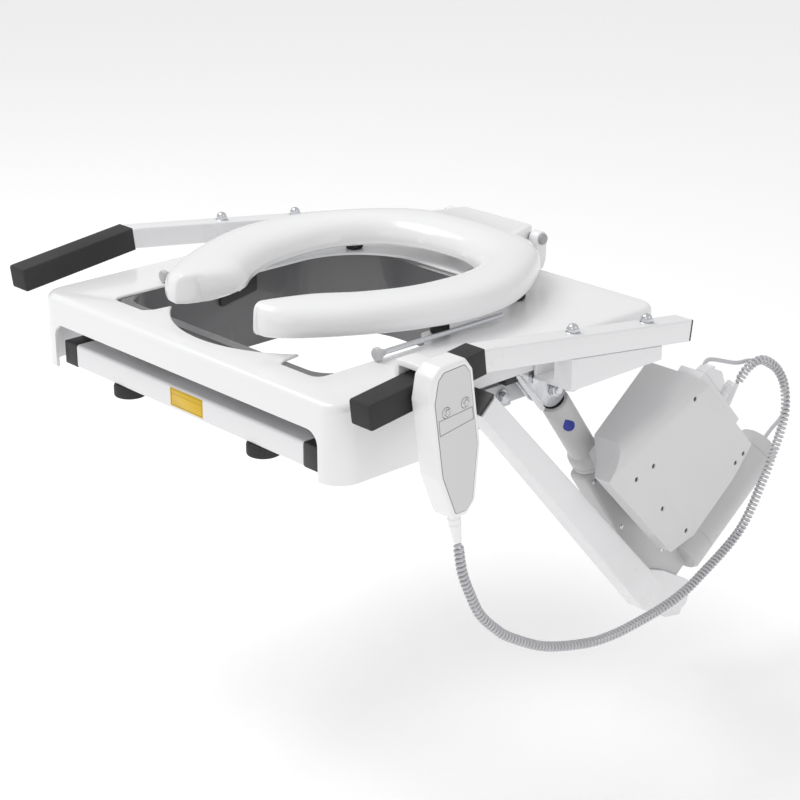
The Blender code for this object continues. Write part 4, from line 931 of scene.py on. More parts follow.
# Armrests: bent 28 x 28 mm tube in white powder coat, with a square rubber grip pushed on the front and a black
# plug in the rear end. Each stands on a welded bracket and is held by two bolts with domed nuts.
ARM_X = 0.302
GRIP_FRONT, ARM_KNEE, ARM_END = Vector((-0.466, 0.102)), Vector((-0.305, 0.122)), Vector((0.025, 0.077))
ARM_HALF = 0.0128
grip_way = (ARM_KNEE - GRIP_FRONT).normalized()
arm_way = (ARM_END - ARM_KNEE).normalized()


def side_bar(points, half):
    """The side outline of a bar of even height along a line."""
    upper, lower = [], []
    for k, point in enumerate(points):
        way = (points[min(k + 1, len(points) - 1)] - points[max(k - 1, 0)]).normalized()
        up = Vector((-way.y, way.x)) * half
        upper.append(tuple(point + up))
        lower.append(tuple(point - up))
    return upper + lower[::-1]


def arm_height(y):
    """The height of the arm tube's middle behind its knee."""
    return ARM_KNEE.y + (ARM_END.y - ARM_KNEE.y) * (y - ARM_KNEE.x) / (ARM_END.x - ARM_KNEE.x)


KNEE_BEND = 0.06
arm_corners = [tuple(GRIP_FRONT + grip_way * 0.005), tuple(ARM_KNEE), tuple(ARM_END)]
arm_line = [Vector(p) for p in softened(arm_corners, [0, KNEE_BEND, 0], 8)]
grip_line = [GRIP_FRONT, ARM_KNEE - grip_way * 0.0015]
for side in ("left", "right"):
    sign = -1 if side == "left" else 1
    x0, x1 = sorted((sign * (ARM_X - 0.0138), sign * (ARM_X + 0.0138)))
    bar = drawn("arm_tube_" + side, side_bar(arm_line, ARM_HALF), "X", x0, x1, 0.0026, 4)
    fitted(bar, "lift_frame", "white_paint", powder_white, "arm_" + side)
    end_line = [ARM_END - arm_way * 0.001, ARM_END + arm_way * 0.0022]
    plug = drawn(
        "arm_end_plug_" + side,
        side_bar(end_line, ARM_HALF - 0.0006),
        "X",
        x0 + 0.0006,
        x1 - 0.0006,
        0.0008,
    )
    fitted(plug, "lift_frame", "black_plastic", plug_black)
    x0, x1 = sorted((sign * (ARM_X - 0.015), sign * (ARM_X + 0.015)))
    sleeve = softened(side_bar(grip_line, 0.0140), [0.0036, 0, 0, 0.0036], 5)
    grip = drawn("rubber_grip_" + side, sleeve, "X", x0, x1, 0.0022, 5)
    fitted(grip, "lift_frame", "black_rubber", rubber_black, "grip_" + side)
    for name, y in (("front", -0.160), ("rear", -0.038)):
        top = arm_height(y) + ARM_HALF / arm_way.x
        place = Vector((sign * ARM_X, y, 0.0))

        def up_to(z, place=place):
            return place + Vector((0, 0, z))

        bolt = merged(
            "arm_bolt_" + name + "_and_nut_" + side,
            straight_rod("arm_shank", up_to(0.0524), up_to(top + 0.003), 0.004),
            straight_rod("arm_washer", up_to(top - 0.0012), up_to(top + 0.0014), 0.0084),
            hexagon("arm_nut", up_to(top + 0.0012), (0, 0, 1), 0.0072, 0.0044),
            spun(
                "arm_dome", up_to(top + 0.0052), up_to(top + 0.0104),
                ((0.0, 0.0061), (0.0016, 0.0058), (0.0031, 0.0049), (0.0043, 0.0034), (0.0050, 0.0016)),
            ),
            straight_rod("arm_nut_under", up_to(0.0500), up_to(0.0541), 0.0070),
        )
        fitted(bolt, "lift_frame", "zinc", plated, "arm_bolt_" + name + "_" + side)
    low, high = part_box("arm_bracket_" + side)
    wall = (0.2593, 0.2630)
    x0, x1 = sorted((sign * wall[0], sign * wall[1]))
    plate = block("bracket_wall", (x0, -0.174, 0.0584), (x1, -0.024, 0.0800), 0.0010)
    x0, x1 = sorted((sign * 0.2600, sign * 0.3150))
    shelf = block("bracket_shelf", (x0, -0.174, 0.0544), (x1, -0.024, 0.0589), 0.0010)
    under = []
    for y in (-0.174, -0.024):
        under.append((y, arm_height(y) - ARM_HALF / arm_way.x - GAP))
    x0, x1 = sorted((sign * 0.289, sign * 0.315))
    wedge = drawn("bracket_wedge", [(-0.174, 0.0560), *under, (-0.024, 0.0560)], "X", x0, x1, 0.0010, 2)
    fitted(united(plate, shelf, wedge), "lift_frame", "white_paint", powder_white, "arm_bracket_" + side)


# Top bracket of the actuator: two pressed cheeks and a bridge in bright dipped zinc, bolted up under the right rail,
# with a white edge plate and a black pad beside them. A headed pin with a washer and a nut passes through the cheeks.
dipped_zinc = surfaced(
    "dipped_zinc",
    (0.80, 0.81, 0.83),
    (0.42, 0.43, 0.46),
    0.24,
    75.0,
    1.0,
    metal=1.0,
    drift=60.0,
)
cheek_profile = softened(
    [(-0.192, 0.0641), (-0.1500, 0.0165)] + arc(-0.136, 0.032, 0.021, 230, 350, 12) + [(-0.108, 0.0641)],
    0.0,
)
inner_cheek = drawn("cheek_inner", cheek_profile, "X", 0.2285, 0.2325, 0.0010)
outer_cheek = drawn("cheek_outer", cheek_profile, "X", 0.2515, 0.2555, 0.0010)
bridge = block("cheek_bridge", (0.2287, -0.1915, 0.0601), (0.2553, -0.1085, 0.0640), 0.0008)
fitted(united(inner_cheek, outer_cheek, bridge), "lift_frame", "zinc", dipped_zinc, "clevis_bracket")
strap = drawn(
    "edge_plate", softened(
        [(-0.2010, 0.0635), (-0.1950, 0.0635), (-0.1530, 0.0150), (-0.1550, 0.0110), (-0.1590, 0.0130)],
        0.0012,
    ),
    "X", 0.2562, 0.2586, 0.0004, 2,
)
fitted(strap, "lift_frame", "white_paint", powder_white)
pad = block("bracket_pad", (0.2330, -0.2160, 0.0560), (0.2580, -0.1950, 0.0636), 0.0012)
fitted(pad, "lift_frame", "black_plastic", plug_black)
pin = merged(
    "top_pin_and_nut",
    straight_rod("top_pin_shank", (0.2245, -0.136, 0.032), (0.2645, -0.136, 0.032), 0.005),
    spun(
        "top_pin_head",
        (0.2245, -0.136, 0.032),
        (0.2282, -0.136, 0.032),
        ((0.0, 0.0055), (0.0012, 0.0073), (0.0037, 0.0075)),
    ),
    straight_rod("top_pin_washer", (0.2558, -0.136, 0.032), (0.2572, -0.136, 0.032), 0.0085),
    hexagon("top_pin_nut", (0.2571, -0.136, 0.032), (1, 0, 0), 0.0080, 0.0046),
)
fitted(pin, "lift_frame", "zinc", plated, "clevis_pin")
cheek_bolts = []
for y, z in ((-0.170, 0.052), (-0.118, 0.052), (-0.146, 0.050)):
    cheek_bolts.append(hexagon("cheek_bolt", (0.2553, y, z), (1, 0, 0), 0.0056, 0.0042))
    cheek_bolts.append(straight_rod("cheek_washer", (0.2549, y, z), (0.2563, y, z), 0.0070, 20))
fitted(merged("cheek_bolts", *cheek_bolts), "lift_frame", "zinc", plated)


# Seat: a thick glossy moulding, open at the front, crowned on top and with its tips cut off square. A flange at the
# rear turns on a steel pin in the hinge's two posts, and four black rubber bumpers carry it on the shell.
RING_BOTTOM = 0.112
RING_STATIONS = (
    (0.070, -0.412, 0.054, -0.386), (0.103, -0.398, 0.052, -0.348), (0.137, -0.356, 0.058, -0.318),
    (0.168, -0.300, 0.084, -0.284), (0.190, -0.243, 0.106, -0.236), (0.197, -0.190, 0.114, -0.185),
    (0.191, -0.140, 0.112, -0.140), (0.173, -0.095, 0.100, -0.105), (0.147, -0.052, 0.078, -0.080),
    (0.117, -0.014, 0.048, -0.066), (0.080, 0.006, 0.024, -0.060), (0.0, 0.014, 0.0, -0.059),
)
RING_SECTION = (
    (0.07, 0.0008), (0.50, 0.000), (0.93, 0.0006), (0.98, 0.0025), (1.00, 0.007), (0.998, 0.013), (
        0.988, 0.0185
    ),
    (0.965, 0.0235), (0.92, 0.0280), (0.85, 0.0315), (0.74, 0.0342), (0.60, 0.0350), (0.46, 0.0347), (
        0.33, 0.0332
    ),
    (0.21, 0.0300), (0.11, 0.0250), (0.04, 0.0180), (0.00, 0.0100), (0.015, 0.0035),
)


def between(values, t):
    """A smooth pass through a list of values at place t along it."""
    k = min(int(t), len(values) - 2)
    s = t - k
    a = values[max(k - 1, 0)]
    b, c = values[k], values[k + 1]
    d = values[min(k + 2, len(values) - 1)]
    return (2 * b + (c - a) * s + (2 * a - 5 * b + 4 * c - d) * s**2 + (3 * b - a - 3 * c + d) * s**3) / 2


columns = list(zip(*RING_STATIONS))
fine_steps = 8
stations = []
for n in range((len(RING_STATIONS) - 1) * fine_steps + 1):
    ox, oy, ix, iy = (between(column, n / fine_steps) for column in columns)
    stations.append((Vector((ox, oy)), Vector((ix, iy))))
mirrored_half = [(Vector((-o.x, o.y)), Vector((-i.x, i.y))) for o, i in stations[:-1]]
sections = []
for outer, inner in stations + mirrored_half[::-1]:
    ring = []
    for share, height in RING_SECTION:
        place = inner.lerp(outer, share)
        ring.append(Vector((place.x, place.y, RING_BOTTOM + height)))
    sections.append(ring)
TIP_ROUND = 0.0060


def tip_sections(first, second):
    """The sections that round the cut end of the seat over."""
    middle = sum(first, Vector()) / len(first)
    outward = middle - sum(second, Vector()) / len(second)
    outward.normalize()
    rounding = []
    for k in range(6):
        turn = pi / 2 * k / 5
        inset = TIP_ROUND * (1 - sin(turn))
        ring = []
        for point in first:
            to_middle = middle - point
            reach = min(inset, to_middle.length * 0.8)
            ring.append(point + to_middle.normalized() * reach - outward * TIP_ROUND * (1 - cos(turn)))
        rounding.append(ring)
    return rounding


near_tip = tip_sections(sections[0], sections[2])
far_tip = tip_sections(sections[-1], sections[-3])
sections = near_tip + sections[4:-4] + far_tip[::-1]
bm = bmesh.new()
rings = [[bm.verts.new(point) for point in ring] for ring in sections]
count = len(RING_SECTION)
for a, b in zip(rings, rings[1:]):
    for k in range(count):
        bm.faces.new((a[k], a[(k + 1) % count], b[(k + 1) % count], b[k]))
bm.faces.new(rings[0])
bm.faces.new(rings[-1][::-1])
seat = shaped("seat_moulding", bm, 60)
flange = drawn(
    "seat_flange", softened(
        [(-0.075, -0.014), (0.075, -0.014), (0.058, 0.036), (-0.058, 0.036)], [0, 0, 0.008, 0.008]
    ),
    "Z", 0.120, 0.1460, 0.0035, 5, 60,
)
bore = straight_rod("hinge_bore", (-0.1, 0.028, 0.134), (0.1, 0.028, 0.134), 0.0043)
fitted(less(united(seat, flange), bore), "ring", "white_plastic", moulded_white, "seat_ring")
for side in ("left", "right"):
    sign = -1 if side == "left" else 1
    for name, x, y in (("front", 0.166, -0.226), ("rear", 0.140, -0.078)):
        node = "bumper_" + name + "_" + side
        bumper = spun(
            node + "_rubber", (sign * x, y, 0.0963), (sign * x, y, 0.1117),
            ((0.0, 0.0088), (0.0006, 0.0098), (0.0022, 0.0108), (0.0040, 0.0110), (0.0110, 0.0106), (
                0.0135, 0.0098
            ),
             (0.0150, 0.0094), (0.0154, 0.0090)),
            36,
        )
        fitted(bumper, "ring", "black_rubber", rubber_black, node)


# Seat hinge: a white moulded saddle on the shell with two posts, and a steel pin with grey plastic end caps.
post_foot = [(0.0151, 0.1083), (0.0151, 0.0973), (0.0319, 0.0973), (0.036, 0.1063)]
post_profile = post_foot[1:] + arc(0.028, 0.134, 0.009, 0, 180, 16) + post_foot[:1]
saddle = drawn(
    "hinge_saddle",
    rounded(-0.0805, 0.0805, 0.015, 0.032, 0.003, 4),
    "Z",
    0.0963,
    0.1003,
    0.0010,
)
posts = [
    drawn("hinge_post", post_profile, "X", *sorted((sign * 0.0665, sign * 0.0805)), 0.0014)
    for sign in (-1, 1)
]
bore = straight_rod("post_bore", (-0.1, 0.028, 0.134), (0.1, 0.028, 0.134), 0.0043)
fitted(less(united(saddle, *posts), bore), "lift_frame", "white_plastic", moulded_white, "hinge_bracket")
soft_grey = surfaced("grey_moulding", (0.42, 0.42, 0.43), (0.37, 0.37, 0.38), 0.36, 900.0, 0.15)
fitted(
    straight_rod("hinge_steel_pin", (-0.0835, 0.028, 0.134), (0.0835, 0.028, 0.134), 0.004),
    "lift_frame", "zinc", plated, "hinge_pin",
)
caps = []
for sign in (-1, 1):
    caps.append(
        spun(
            "pin_cap", (sign * 0.0807, 0.028, 0.134), (sign * 0.0845, 0.028, 0.134),
            ((0.0, 0.0068), (0.0022, 0.0068), (0.0033, 0.0060), (0.0038, 0.0045)),
        )
    )
fitted(merged("hinge_pin_caps", *caps), "lift_frame", "grey_plastic", soft_grey)


# Actuator: an aluminium tube in satin grey paint with a collar, screwed into a cast housing that holds the gears,
# with the motor across its foot. A blue drop-shaped sticker is on the tube's outer side.
satin_grey = surfaced(
    "satin_grey_paint",
    (0.60, 0.595, 0.60),
    (0.53, 0.525, 0.53),
    0.38,
    700.0,
    0.14,
    gloss=0.15,
    drift=14.0,
)
tube = spun(
    "actuator_barrel", on_actuator(0.026), on_actuator(0.138),
    ((0.0, 0.0150), (0.0008, 0.0164), (0.0022, 0.0172), (0.0890, 0.0172), (0.0900, 0.0180), (
        0.0915, 0.0196
    ),
     (0.0940, 0.0210), (0.0990, 0.0215), (0.1030, 0.0215), (0.1035, 0.0209), (0.1055, 0.0209), (
         0.1060, 0.0215
     ),
     (0.1105, 0.0215), (0.1120, 0.0205)),
    56,
)
less(tube, straight_rod("barrel_bore", on_actuator(0.016), on_actuator(0.148), 0.0108, 40))
fitted(tube, "actuator", "grey_plastic", satin_grey, "actuator_tube")
ring_seal = spun(
    "barrel_seal", on_actuator(0.0252), on_actuator(0.0285),
    ((0.0, 0.0112), (0.0004, 0.0125), (0.0018, 0.0130), (0.0030, 0.0130)), 40,
)
less(ring_seal, straight_rod("seal_bore", on_actuator(0.02), on_actuator(0.04), 0.0104, 40))
fitted(ring_seal, "actuator", "black_rubber", rubber_black)
drop_blue = surfaced("blue_sticker", (0.030, 0.047, 0.36), (0.024, 0.038, 0.30), 0.28, 900.0, 0.04)
DROP_MIDDLE, DROP_SIZE, BARREL = 0.056, 0.0088, 0.0172
bm = bmesh.new()
drop_rings = []
for scale in (0.0, 0.35, 0.7, 1.0):
    for lift in ((0.00035,) if scale < 1.0 else (0.00035, 0.00005)):
        ring = []
        for k in range(40):
            turn = 2 * pi * k / 40
            far = DROP_MIDDLE + scale * DROP_SIZE * (-cos(turn) * (1.32 if cos(turn) > 0 else 0.95))
            across = scale * DROP_SIZE * 0.80 * sin(turn) * (1 - max(cos(turn), 0.0) ** 1.5 * 0.75)
            around = radians(-30) + across / BARREL
            point = on_actuator(far) + (Vector((1, 0, 0)) * cos(around) + REAR * sin(around)) * (
                BARREL + lift
            )
            ring.append(point)
        drop_rings.append(ring)
middle = bm.verts.new(sum(drop_rings[0], Vector()) / 40)
rings = [[bm.verts.new(p) for p in ring] for ring in drop_rings[1:]]
for k in range(40):
    bm.faces.new((middle, rings[0][k], rings[0][(k + 1) % 40]))
for a, b in zip(rings, rings[1:]):
    for k in range(40):
        bm.faces.new((a[k], b[k], b[(k + 1) % 40], a[(k + 1) % 40]))
bm.faces.new(rings[-1])
fitted(shaped("drop_sticker", bm), "actuator", "grey_plastic", drop_blue)

length = (FOOT - CLEVIS).length
BODY_START, BODY_END = 0.1383, length - 0.022


def flat_actuator(pairs):
    points = [on_actuator(far, out) for far, out in pairs]
    return [(p.y, p.z) for p in points]


casting = drawn(
    "housing_casting",
    flat_actuator(
        softened(
            [
                (BODY_START, -0.026),
                (BODY_START, 0.022),
                (0.338, 0.022),
                (0.346, 0.046),
                (BODY_END, 0.046),
                (BODY_END, -0.026),
            ],
            [0.008, 0.008, 0.004, 0.008, 0.008, 0.034], 8,
        )
    ),
    "X", 0.227, 0.257, 0.0045, 5, 50,
)
lug_profile = flat_actuator(
    [(BODY_END - 0.02, 0.014), (BODY_END - 0.02, -0.014)] + arc(length, 0.0, 0.012, -90, 90, 16)
)
lug = drawn("housing_lug", lug_profile, "X", 0.2272, 0.2568, 0.0012)
motor = spun(
    "motor_can", on_actuator(0.372, 0.034, 0.250), on_actuator(0.372, MOTOR_REACH, 0.250),
    ((0.0, 0.0245), (0.004, 0.0280), (0.030, 0.0280), (0.0305, 0.0272), (0.0325, 0.0272), (0.033, 0.0280),
     (0.165, 0.0280), (0.1655, 0.0273), (0.1675, 0.0273), (0.168, 0.0280), (0.180, 0.0280), (
         0.1855, 0.0262
     ),
     (0.188, 0.0225)),
    56, 50,
)
housing = less(
    united(casting, lug, motor),
    straight_rod("rod_bore", on_actuator(0.128), on_actuator(0.238), 0.0108, 32),
    straight_rod("lug_bore", on_actuator(length, 0.0, 0.2), on_actuator(length, 0.0, 0.3), 0.0053),
)
fitted(housing, "actuator", "grey_plastic", satin_grey, "actuator_housing")
housing_screws = []
for far, out in ((0.150, -0.018), (0.150, 0.014), (0.240, -0.018), (0.330, -0.018), (0.330, 0.014)):
    place = on_actuator(far, out, 0.2566)
    housing_screws.append(
        spun(
            "housing_screw",
            place,
            place + Vector((0.0014, 0, 0)),
            ((0.0, 0.0034), (0.0007, 0.0034), (0.0014, 0.0024)),
            20,
        )
    )
fitted(merged("housing_screws", *housing_screws), "actuator", "zinc", plated)

# Actuator rod: ground steel, with a flattened eye whose wide slot lets the top pin wander as the frame rises.
rod = straight_rod("push_rod", on_actuator(0.006), on_actuator(0.218), 0.009, 40)
SLOT_FAR, SLOT_OUT, RIM = 0.0084, 0.0145, 0.0050
eye = drawn(
    "rod_eye", flat_actuator(
        rounded(-SLOT_FAR - RIM, SLOT_FAR + RIM, -SLOT_OUT - RIM, SLOT_OUT + RIM, 0.009, 8)
    ),
    "X", 0.234, 0.250, 0.0010,
)
slot = drawn(
    "eye_slot",
    flat_actuator(rounded(-SLOT_FAR, SLOT_FAR, -SLOT_OUT, SLOT_OUT, 0.003, 5)),
    "X",
    0.2,
    0.3,
    0.0,
)
fitted(less(united(rod, eye), slot), "rod", "zinc", plated, "actuator_rod")


# Control box: a folded tray on the actuator's side under a folded cover in pale grey paint. The cover's top bend has
# a wide radius, its other edges are sharp folds, and seven sunk screws hold it.
pale_paint = surfaced(
    "pale_grey_paint",
    (0.71, 0.70, 0.71),
    (0.655, 0.645, 0.655),
    0.34,
    900.0,
    0.12,
    gloss=0.2,
    drift=6.0,
)
screw_dark = surfaced("dark_screw", (0.05, 0.05, 0.055), (0.09, 0.09, 0.095), 0.35, 900.0, 0.3, metal=0.7)
BOX_OUTLINE = (
    (0.041, 0.017), (0.141, -0.091), (0.108, -0.127), (0.040, -0.178), (-0.002, -0.187), (-0.117, -0.065),
    (-0.107, -0.053), (-0.090, -0.029),
)


def shrunk(outline, by):
    """The outline moved in by the same distance on every side."""
    area = sum(a[0] * b[1] - b[0] * a[1] for a, b in zip(outline, tuple(outline[1:]) + (outline[0],)))
    sign = 1 if area > 0 else -1
    moved = []
    count = len(outline)
    for k in range(count):
        a, b, c = (Vector(outline[(k + n - 1) % count]) for n in range(3))
        first, second = (b - a).normalized(), (c - b).normalized()
        in_first, in_second = Vector((-first.y, first.x)) * sign, Vector((-second.y, second.x)) * sign
        middle = (in_first + in_second).normalized()
        moved.append(tuple(b + middle * by / max(middle.dot(in_first), 0.3)))
    return moved


def folded(name, by, backs, high, bend, sunk=0.0):
    """The box's outline drawn out along X, with the fold along its top edge bent to a radius. Each corner has its
    own back edge, and the lower front side can sink inwards towards the back."""
    points = [Vector(p) for p in (shrunk(BOX_OUTLINE, by) if by else BOX_OUTLINE)]
    top_way = (points[0] - points[-1]).normalized()
    inward = Vector((top_way.y, -top_way.x))
    slides = {}
    for k, neighbour in ((0, 1), (len(points) - 1, len(points) - 2)):
        way = (points[neighbour] - points[k]).normalized()
        slides[k] = way / way.dot(inward)
    front_way = (points[4] - points[5]).normalized()
    front_inward = Vector((-front_way.y, front_way.x))
    bm = bmesh.new()
    rings = []
    for step in range(14):
        ring = []
        for k, point in enumerate(points):
            place, x = point, backs[k]
            if step == 0 and k in (4, 5, 6):
                place = point + front_inward * sunk
            if step > 0:
                turn = pi / 2 * (step - 1) / 12
                x = high - bend + bend * sin(turn)
                place = point + slides.get(k, Vector((0, 0))) * bend * (1 - cos(turn))
            ring.append(bm.verts.new((x, place.x, place.y)))
        rings.append(ring)
    count = len(points)
    for a, b in zip(rings, rings[1:]):
        for k in range(count):
            bm.faces.new((a[k], a[(k + 1) % count], b[(k + 1) % count], b[k]))
    back = bm.faces.new(rings[0][::-1])
    bm.faces.new(rings[-1])
    bmesh.ops.triangulate(bm, faces=[back])
    return shaped(name, bm, 30)


cover = folded(
    "folded_cover",
    0.0,
    (0.241, 0.270, 0.296, 0.300, 0.303, 0.303, 0.296, 0.277),
    0.3250,
    0.0180,
)
cover_edges = cover.modifiers.new("folds", "BEVEL")
cover_edges.width = 0.0012
cover_edges.segments = 3
cover_edges.limit_method = "ANGLE"
cover_edges.angle_limit = radians(40)
settled(cover)
less(cover, folded("cover_inside", 0.003, (0.22, 0.25, 0.27, 0.27, 0.27, 0.27, 0.27, 0.25), 0.3220, 0.0150))
SCREWS = (
    (0.028, -0.004),
    (-0.041, -0.067),
    (-0.070, -0.075),
    (-0.021, -0.126),
    (0.025, -0.168),
    (0.112, -0.107),
    (0.126, -0.099),
)
wells, heads = [], []
for y, z in SCREWS:
    wells.append(
        spun(
            "screw_well",
            (0.3190, y, z),
            (0.3256, y, z),
            ((0.0, 0.0027), (0.0050, 0.0027), (0.0060, 0.0034), (0.0066, 0.0038)),
            24,
        )
    )
    heads.append(
        spun(
            "screw_head",
            (0.3196, y, z),
            (0.3238, y, z),
            ((0.0, 0.0012), (0.0030, 0.0012), (0.0032, 0.0025), (0.0042, 0.0021)),
            24,
        )
    )
less(cover, *wells)
fitted(cover, "actuator", "pale_grey", pale_paint, "box_cover")
fitted(merged("cover_screws", *heads), "actuator", "zinc", screw_dark)
tray = folded(
    "box_tray",
    0.0033,
    (0.243, 0.2680, 0.2675, 0.2675, 0.276, 0.276, 0.278, 0.279),
    0.3190,
    0.0147,
    0.022,
)
back_profile = flat_actuator(
    [(0.150, 0.0250), (0.124, 0.120), (0.250, 0.140), (0.258, 0.100), (0.258, 0.0250)]
)
back = drawn("box_back", softened(back_profile, 0.003), "X", 0.2450, 0.2710, 0.0012)
fitted(united(tray, back), "actuator", "pale_grey", pale_paint, "control_box")


# Sockets: a white moulded strip on the box's rear edge. It takes the motor's plug, the handset's ribbed plug and two
# spare round plugs, beside a moulded cover over the terminals.
connector_white = surfaced("connector_white", (0.80, 0.80, 0.81), (0.74, 0.74, 0.755), 0.36, 800.0, 0.12)


def strip_slab(name, corners, x0, x1, edge):
    outline = []
    for far, up in corners:
        place = on_strip(far, up, 0.0)
        outline.append((place.y, place.z))
    return drawn(name, softened(outline, edge * 1.6), "X", x0, x1, edge)


base_strip = strip_slab(
    "strip_base",
    [(0.004, 0.0008), (0.004, 0.012), (0.108, 0.012), (0.108, 0.0008)],
    0.276,
    0.312,
    0.0009,
)
spare = strip_slab(
    "spare_opening",
    [(0.058, 0.006), (0.058, 0.02), (0.070, 0.02), (0.070, 0.006)],
    0.289,
    0.299,
    0.0003,
)
fitted(less(base_strip, spare), "actuator", "white_plastic", connector_white, "socket_strip")
terminals = merged(
    "terminal_cover",
    strip_slab(
        "terminal_block",
        [(0.006, 0.0122), (0.010, 0.0230), (0.030, 0.0300), (0.046, 0.0270), (0.050, 0.0122)],
        0.2952,
        0.3115,
        0.0014,
    ),
    strip_slab(
        "terminal_rib",
        [(0.014, 0.0240), (0.014, 0.0275), (0.018, 0.0290), (0.018, 0.0240)],
        0.2970,
        0.3100,
        0.0006,
    ),
    strip_slab(
        "terminal_step",
        [(0.034, 0.0270), (0.034, 0.0330), (0.042, 0.0315), (0.042, 0.0265)],
        0.2980,
        0.3080,
        0.0008,
    ),
)
fitted(terminals, "actuator", "white_plastic", connector_white)


def ribbed_plug(name, far, x, low, high, radius, neck):
    """A round plug standing on the strip: a body, a ribbed sleeve, and a neck for its lead."""
    length = high - low
    profile = [
        (0.0, radius - 0.0004),
        (0.0006, radius),
        (length * 0.30, radius),
        (length * 0.33, radius * 0.84),
    ]
    for k in range(5):
        start = length * (0.36 + 0.10 * k)
        size = radius * (0.92 - 0.06 * k)
        profile += [
            (start, size * 0.88),
            (start + 0.0004, size),
            (start + length * 0.055, size),
            (start + length * 0.06, size * 0.88),
        ]
    profile += [(length * 0.88, neck * 1.15), (length, neck)]
    return spun(name, on_strip(far, low, x), on_strip(far, high, x), profile, 32)


fitted(
    ribbed_plug("motor_lead_plug", 0.030, 0.287, 0.0125, 0.0262, 0.0065, 0.0036),
    "actuator", "white_plastic", connector_white, "motor_plug",
)
fitted(
    ribbed_plug("handset_lead_plug", 0.090, 0.294, 0.0125, 0.0455, 0.0075, 0.0040),
    "actuator", "white_plastic", connector_white, "handset_plug",
)
spare_plugs = merged(
    "spare_plugs",
    ribbed_plug("middle_plug", 0.064, 0.3045, 0.0122, 0.0360, 0.0066, 0.0034),
    ribbed_plug("lower_plug", 0.102, 0.2825, 0.0122, 0.0330, 0.0058, 0.0032),
)
fitted(spare_plugs, "actuator", "white_plastic", connector_white)


# Handset: a white two-part moulding with a flat hook that hangs over the right grip. Its face has a light grey
# overlay with a thin dark rim, two arrow buttons and a blank outlined field, and a stepped relief holds the cord.
overlay_grey = surfaced("overlay_grey", (0.70, 0.69, 0.70), (0.665, 0.655, 0.665), 0.42, 1200.0, 0.10)
rim_grey = surfaced("printed_line_grey", (0.20, 0.20, 0.21), (0.24, 0.24, 0.25), 0.5, 900.0, 0.05)
FACE = (
    (-0.402, 0.148), (-0.368, 0.150), (-0.358, 0.137), (-0.346, 0.055), (-0.352, -0.006), (-0.364, -0.019),
    (-0.385, -0.019), (-0.405, 0.030), (-0.417, 0.112), (-0.412, 0.138),
)
HANDSET_FACE = 0.350
BUTTONS = (("raise", -0.370, 0.104), ("lower", -0.396, 0.100))


def button_wells(depth):
    return [straight_rod("button_well", (depth, y, z), (0.36, y, z), 0.0060, 32) for name, y, z in BUTTONS]


case = drawn("case_moulding", softened(FACE, 0.006), "X", 0.3205, HANDSET_FACE, 0.0042, 6, 50)
hook_profile = [
    (0.2780, 0.1180),
    (0.2845, 0.1180),
    (0.2845, 0.1322),
    (0.3300, 0.1322),
    (0.3300, 0.1392),
    (0.2780, 0.1392),
]
hook = drawn(
    "case_hook",
    softened(hook_profile, [0.002, 0.002, 0.001, 0.0, 0.0, 0.0055], 6),
    "Y",
    -0.398,
    -0.372,
    0.0012,
)
relief = spun(
    "cord_relief", (0.336, -0.372, -0.011), (0.338, -0.366, -0.0524),
    ((0.0, 0.0074), (0.0105, 0.0074), (0.0115, 0.0064), (0.0135, 0.0064), (0.0140, 0.0070), (
        0.0190, 0.0068
    ),
     (0.0196, 0.0060), (0.0210, 0.0060), (0.0216, 0.0065), (0.0270, 0.0058), (0.0400, 0.0046), (0.0419, 0.0042)),
    36,
)
less(united(case, hook, relief), *button_wells(0.341))
fitted(case, "handset", "white_plastic", moulded_white, "handset_case")
panel_outline = softened(shrunk(FACE, 0.0062), 0.004)
panel_rim = softened(shrunk(FACE, 0.0055), 0.0045)
rim = less(drawn("overlay_rim", panel_rim, "X", 0.3494, HANDSET_FACE + 0.0002, 0.0), *button_wells(0.345))
fitted(rim, "handset", "pale_grey", rim_grey)
overlay = less(
    drawn("overlay", panel_outline, "X", 0.3494, HANDSET_FACE + 0.0005, 0.0001, 1), *button_wells(0.345)
)
fitted(overlay, "handset", "pale_grey", overlay_grey)
field = [Vector(p) for p in ((-0.406, 0.093), (-0.360, 0.097), (-0.358, 0.084), (-0.404, 0.077))]
lines = []
for a, b in zip(field, field[1:] + field[:1]):
    way = (b - a).normalized() * 0.0003
    side = Vector((-way.y, way.x))
    corners = [tuple(a - way + side), tuple(b + way + side), tuple(b + way - side), tuple(a - way - side)]
    lines.append(drawn("field_line", corners, "X", HANDSET_FACE + 0.0003, HANDSET_FACE + 0.0007, 0.0))
fitted(merged("blank_field_lines", *lines), "handset", "pale_grey", rim_grey)
ARROW = (
    (0.0, 0.0046),
    (0.0046, 0.0004),
    (0.0022, 0.0004),
    (0.0022, -0.0040),
    (-0.0022, -0.0040),
    (-0.0022, 0.0004),
    (-0.0046, 0.0004),
)
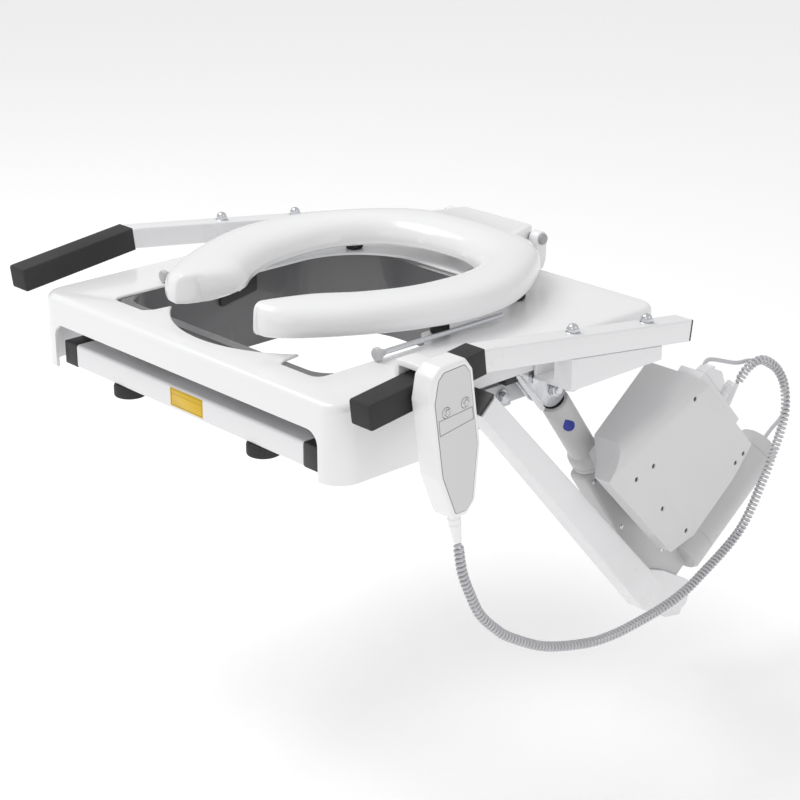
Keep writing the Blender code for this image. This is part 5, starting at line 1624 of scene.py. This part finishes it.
for name, y, z in BUTTONS:
    body = name + "_button"
    key = spun(
        name + "_key", (0.3445, y, z), (0.3522, y, z),
        ((0.0, 0.0055), (0.0058, 0.0055), (0.0066, 0.0053), (0.0072, 0.0049), (0.0077, 0.0042)), 36,
    )
    fitted(key, body, "grey_plastic", overlay_grey, "button_" + name)
    turn = 1 if name == "raise" else -1
    arrow = [(y + u * turn, z + v * turn) for u, v in ARROW]
    fitted(drawn(name + "_arrow_line", arrow, "X", 0.3519, 0.35235, 0.0), body, "grey_plastic", rim_grey)
    inner = [(y + u * turn * 0.78, z + v * turn * 0.78) for u, v in ARROW]
    fitted(drawn(name + "_arrow", inner, "X", 0.3520, 0.35250, 0.0), body, "grey_plastic", overlay_grey)


# The room: a pale floor under the frame, a soft light from the upper left, a weaker one from the right and one from
# behind the camera, in a bright even surround.
floor_white = surfaced("pale_floor", (0.93, 0.93, 0.93), (0.91, 0.91, 0.91), 0.7, 300.0, 0.02)
floor_shader = floor_white.node_tree.nodes["Principled BSDF"]
floor_shader.inputs["Emission Color"].default_value = (1.0, 1.0, 1.0, 1.0)
floor_shader.inputs["Emission Strength"].default_value = 0.22
bm = bmesh.new()
bmesh.ops.create_grid(bm, x_segments=8, y_segments=8, size=6.0)
bmesh.ops.translate(bm, vec=(0, 0, -0.405), verts=bm.verts)
floor = shaped("floor", bm)
floor.data.materials.append(floor_white)
world = bpy.data.worlds.new("surround")
world.use_nodes = True
world.node_tree.nodes["Background"].inputs["Color"].default_value = (1.0, 1.0, 1.0, 1.0)
world.node_tree.nodes["Background"].inputs["Strength"].default_value = 0.66
bpy.context.scene.world = world
for name, place, aim, power, size in (
    ("key", (-1.3, -0.9, 2.4), (0.0, -0.2, 0.0), 34.0, 1.5),
    ("fill", (2.4, 0.6, 1.4), (0.2, -0.1, -0.1), 5.0, 1.8),
    ("front", (1.2, -2.6, 1.2), (0.1, -0.2, -0.1), 5.0, 1.4),
):
    light = bpy.data.lights.new(name, "AREA")
    light.energy = power
    light.size = size
    lamp = bpy.data.objects.new(name, light)
    lamp.location = place
    lamp.rotation_euler = (Vector(aim) - Vector(place)).to_track_quat("-Z", "Y").to_euler()
    bpy.context.scene.collection.objects.link(lamp)
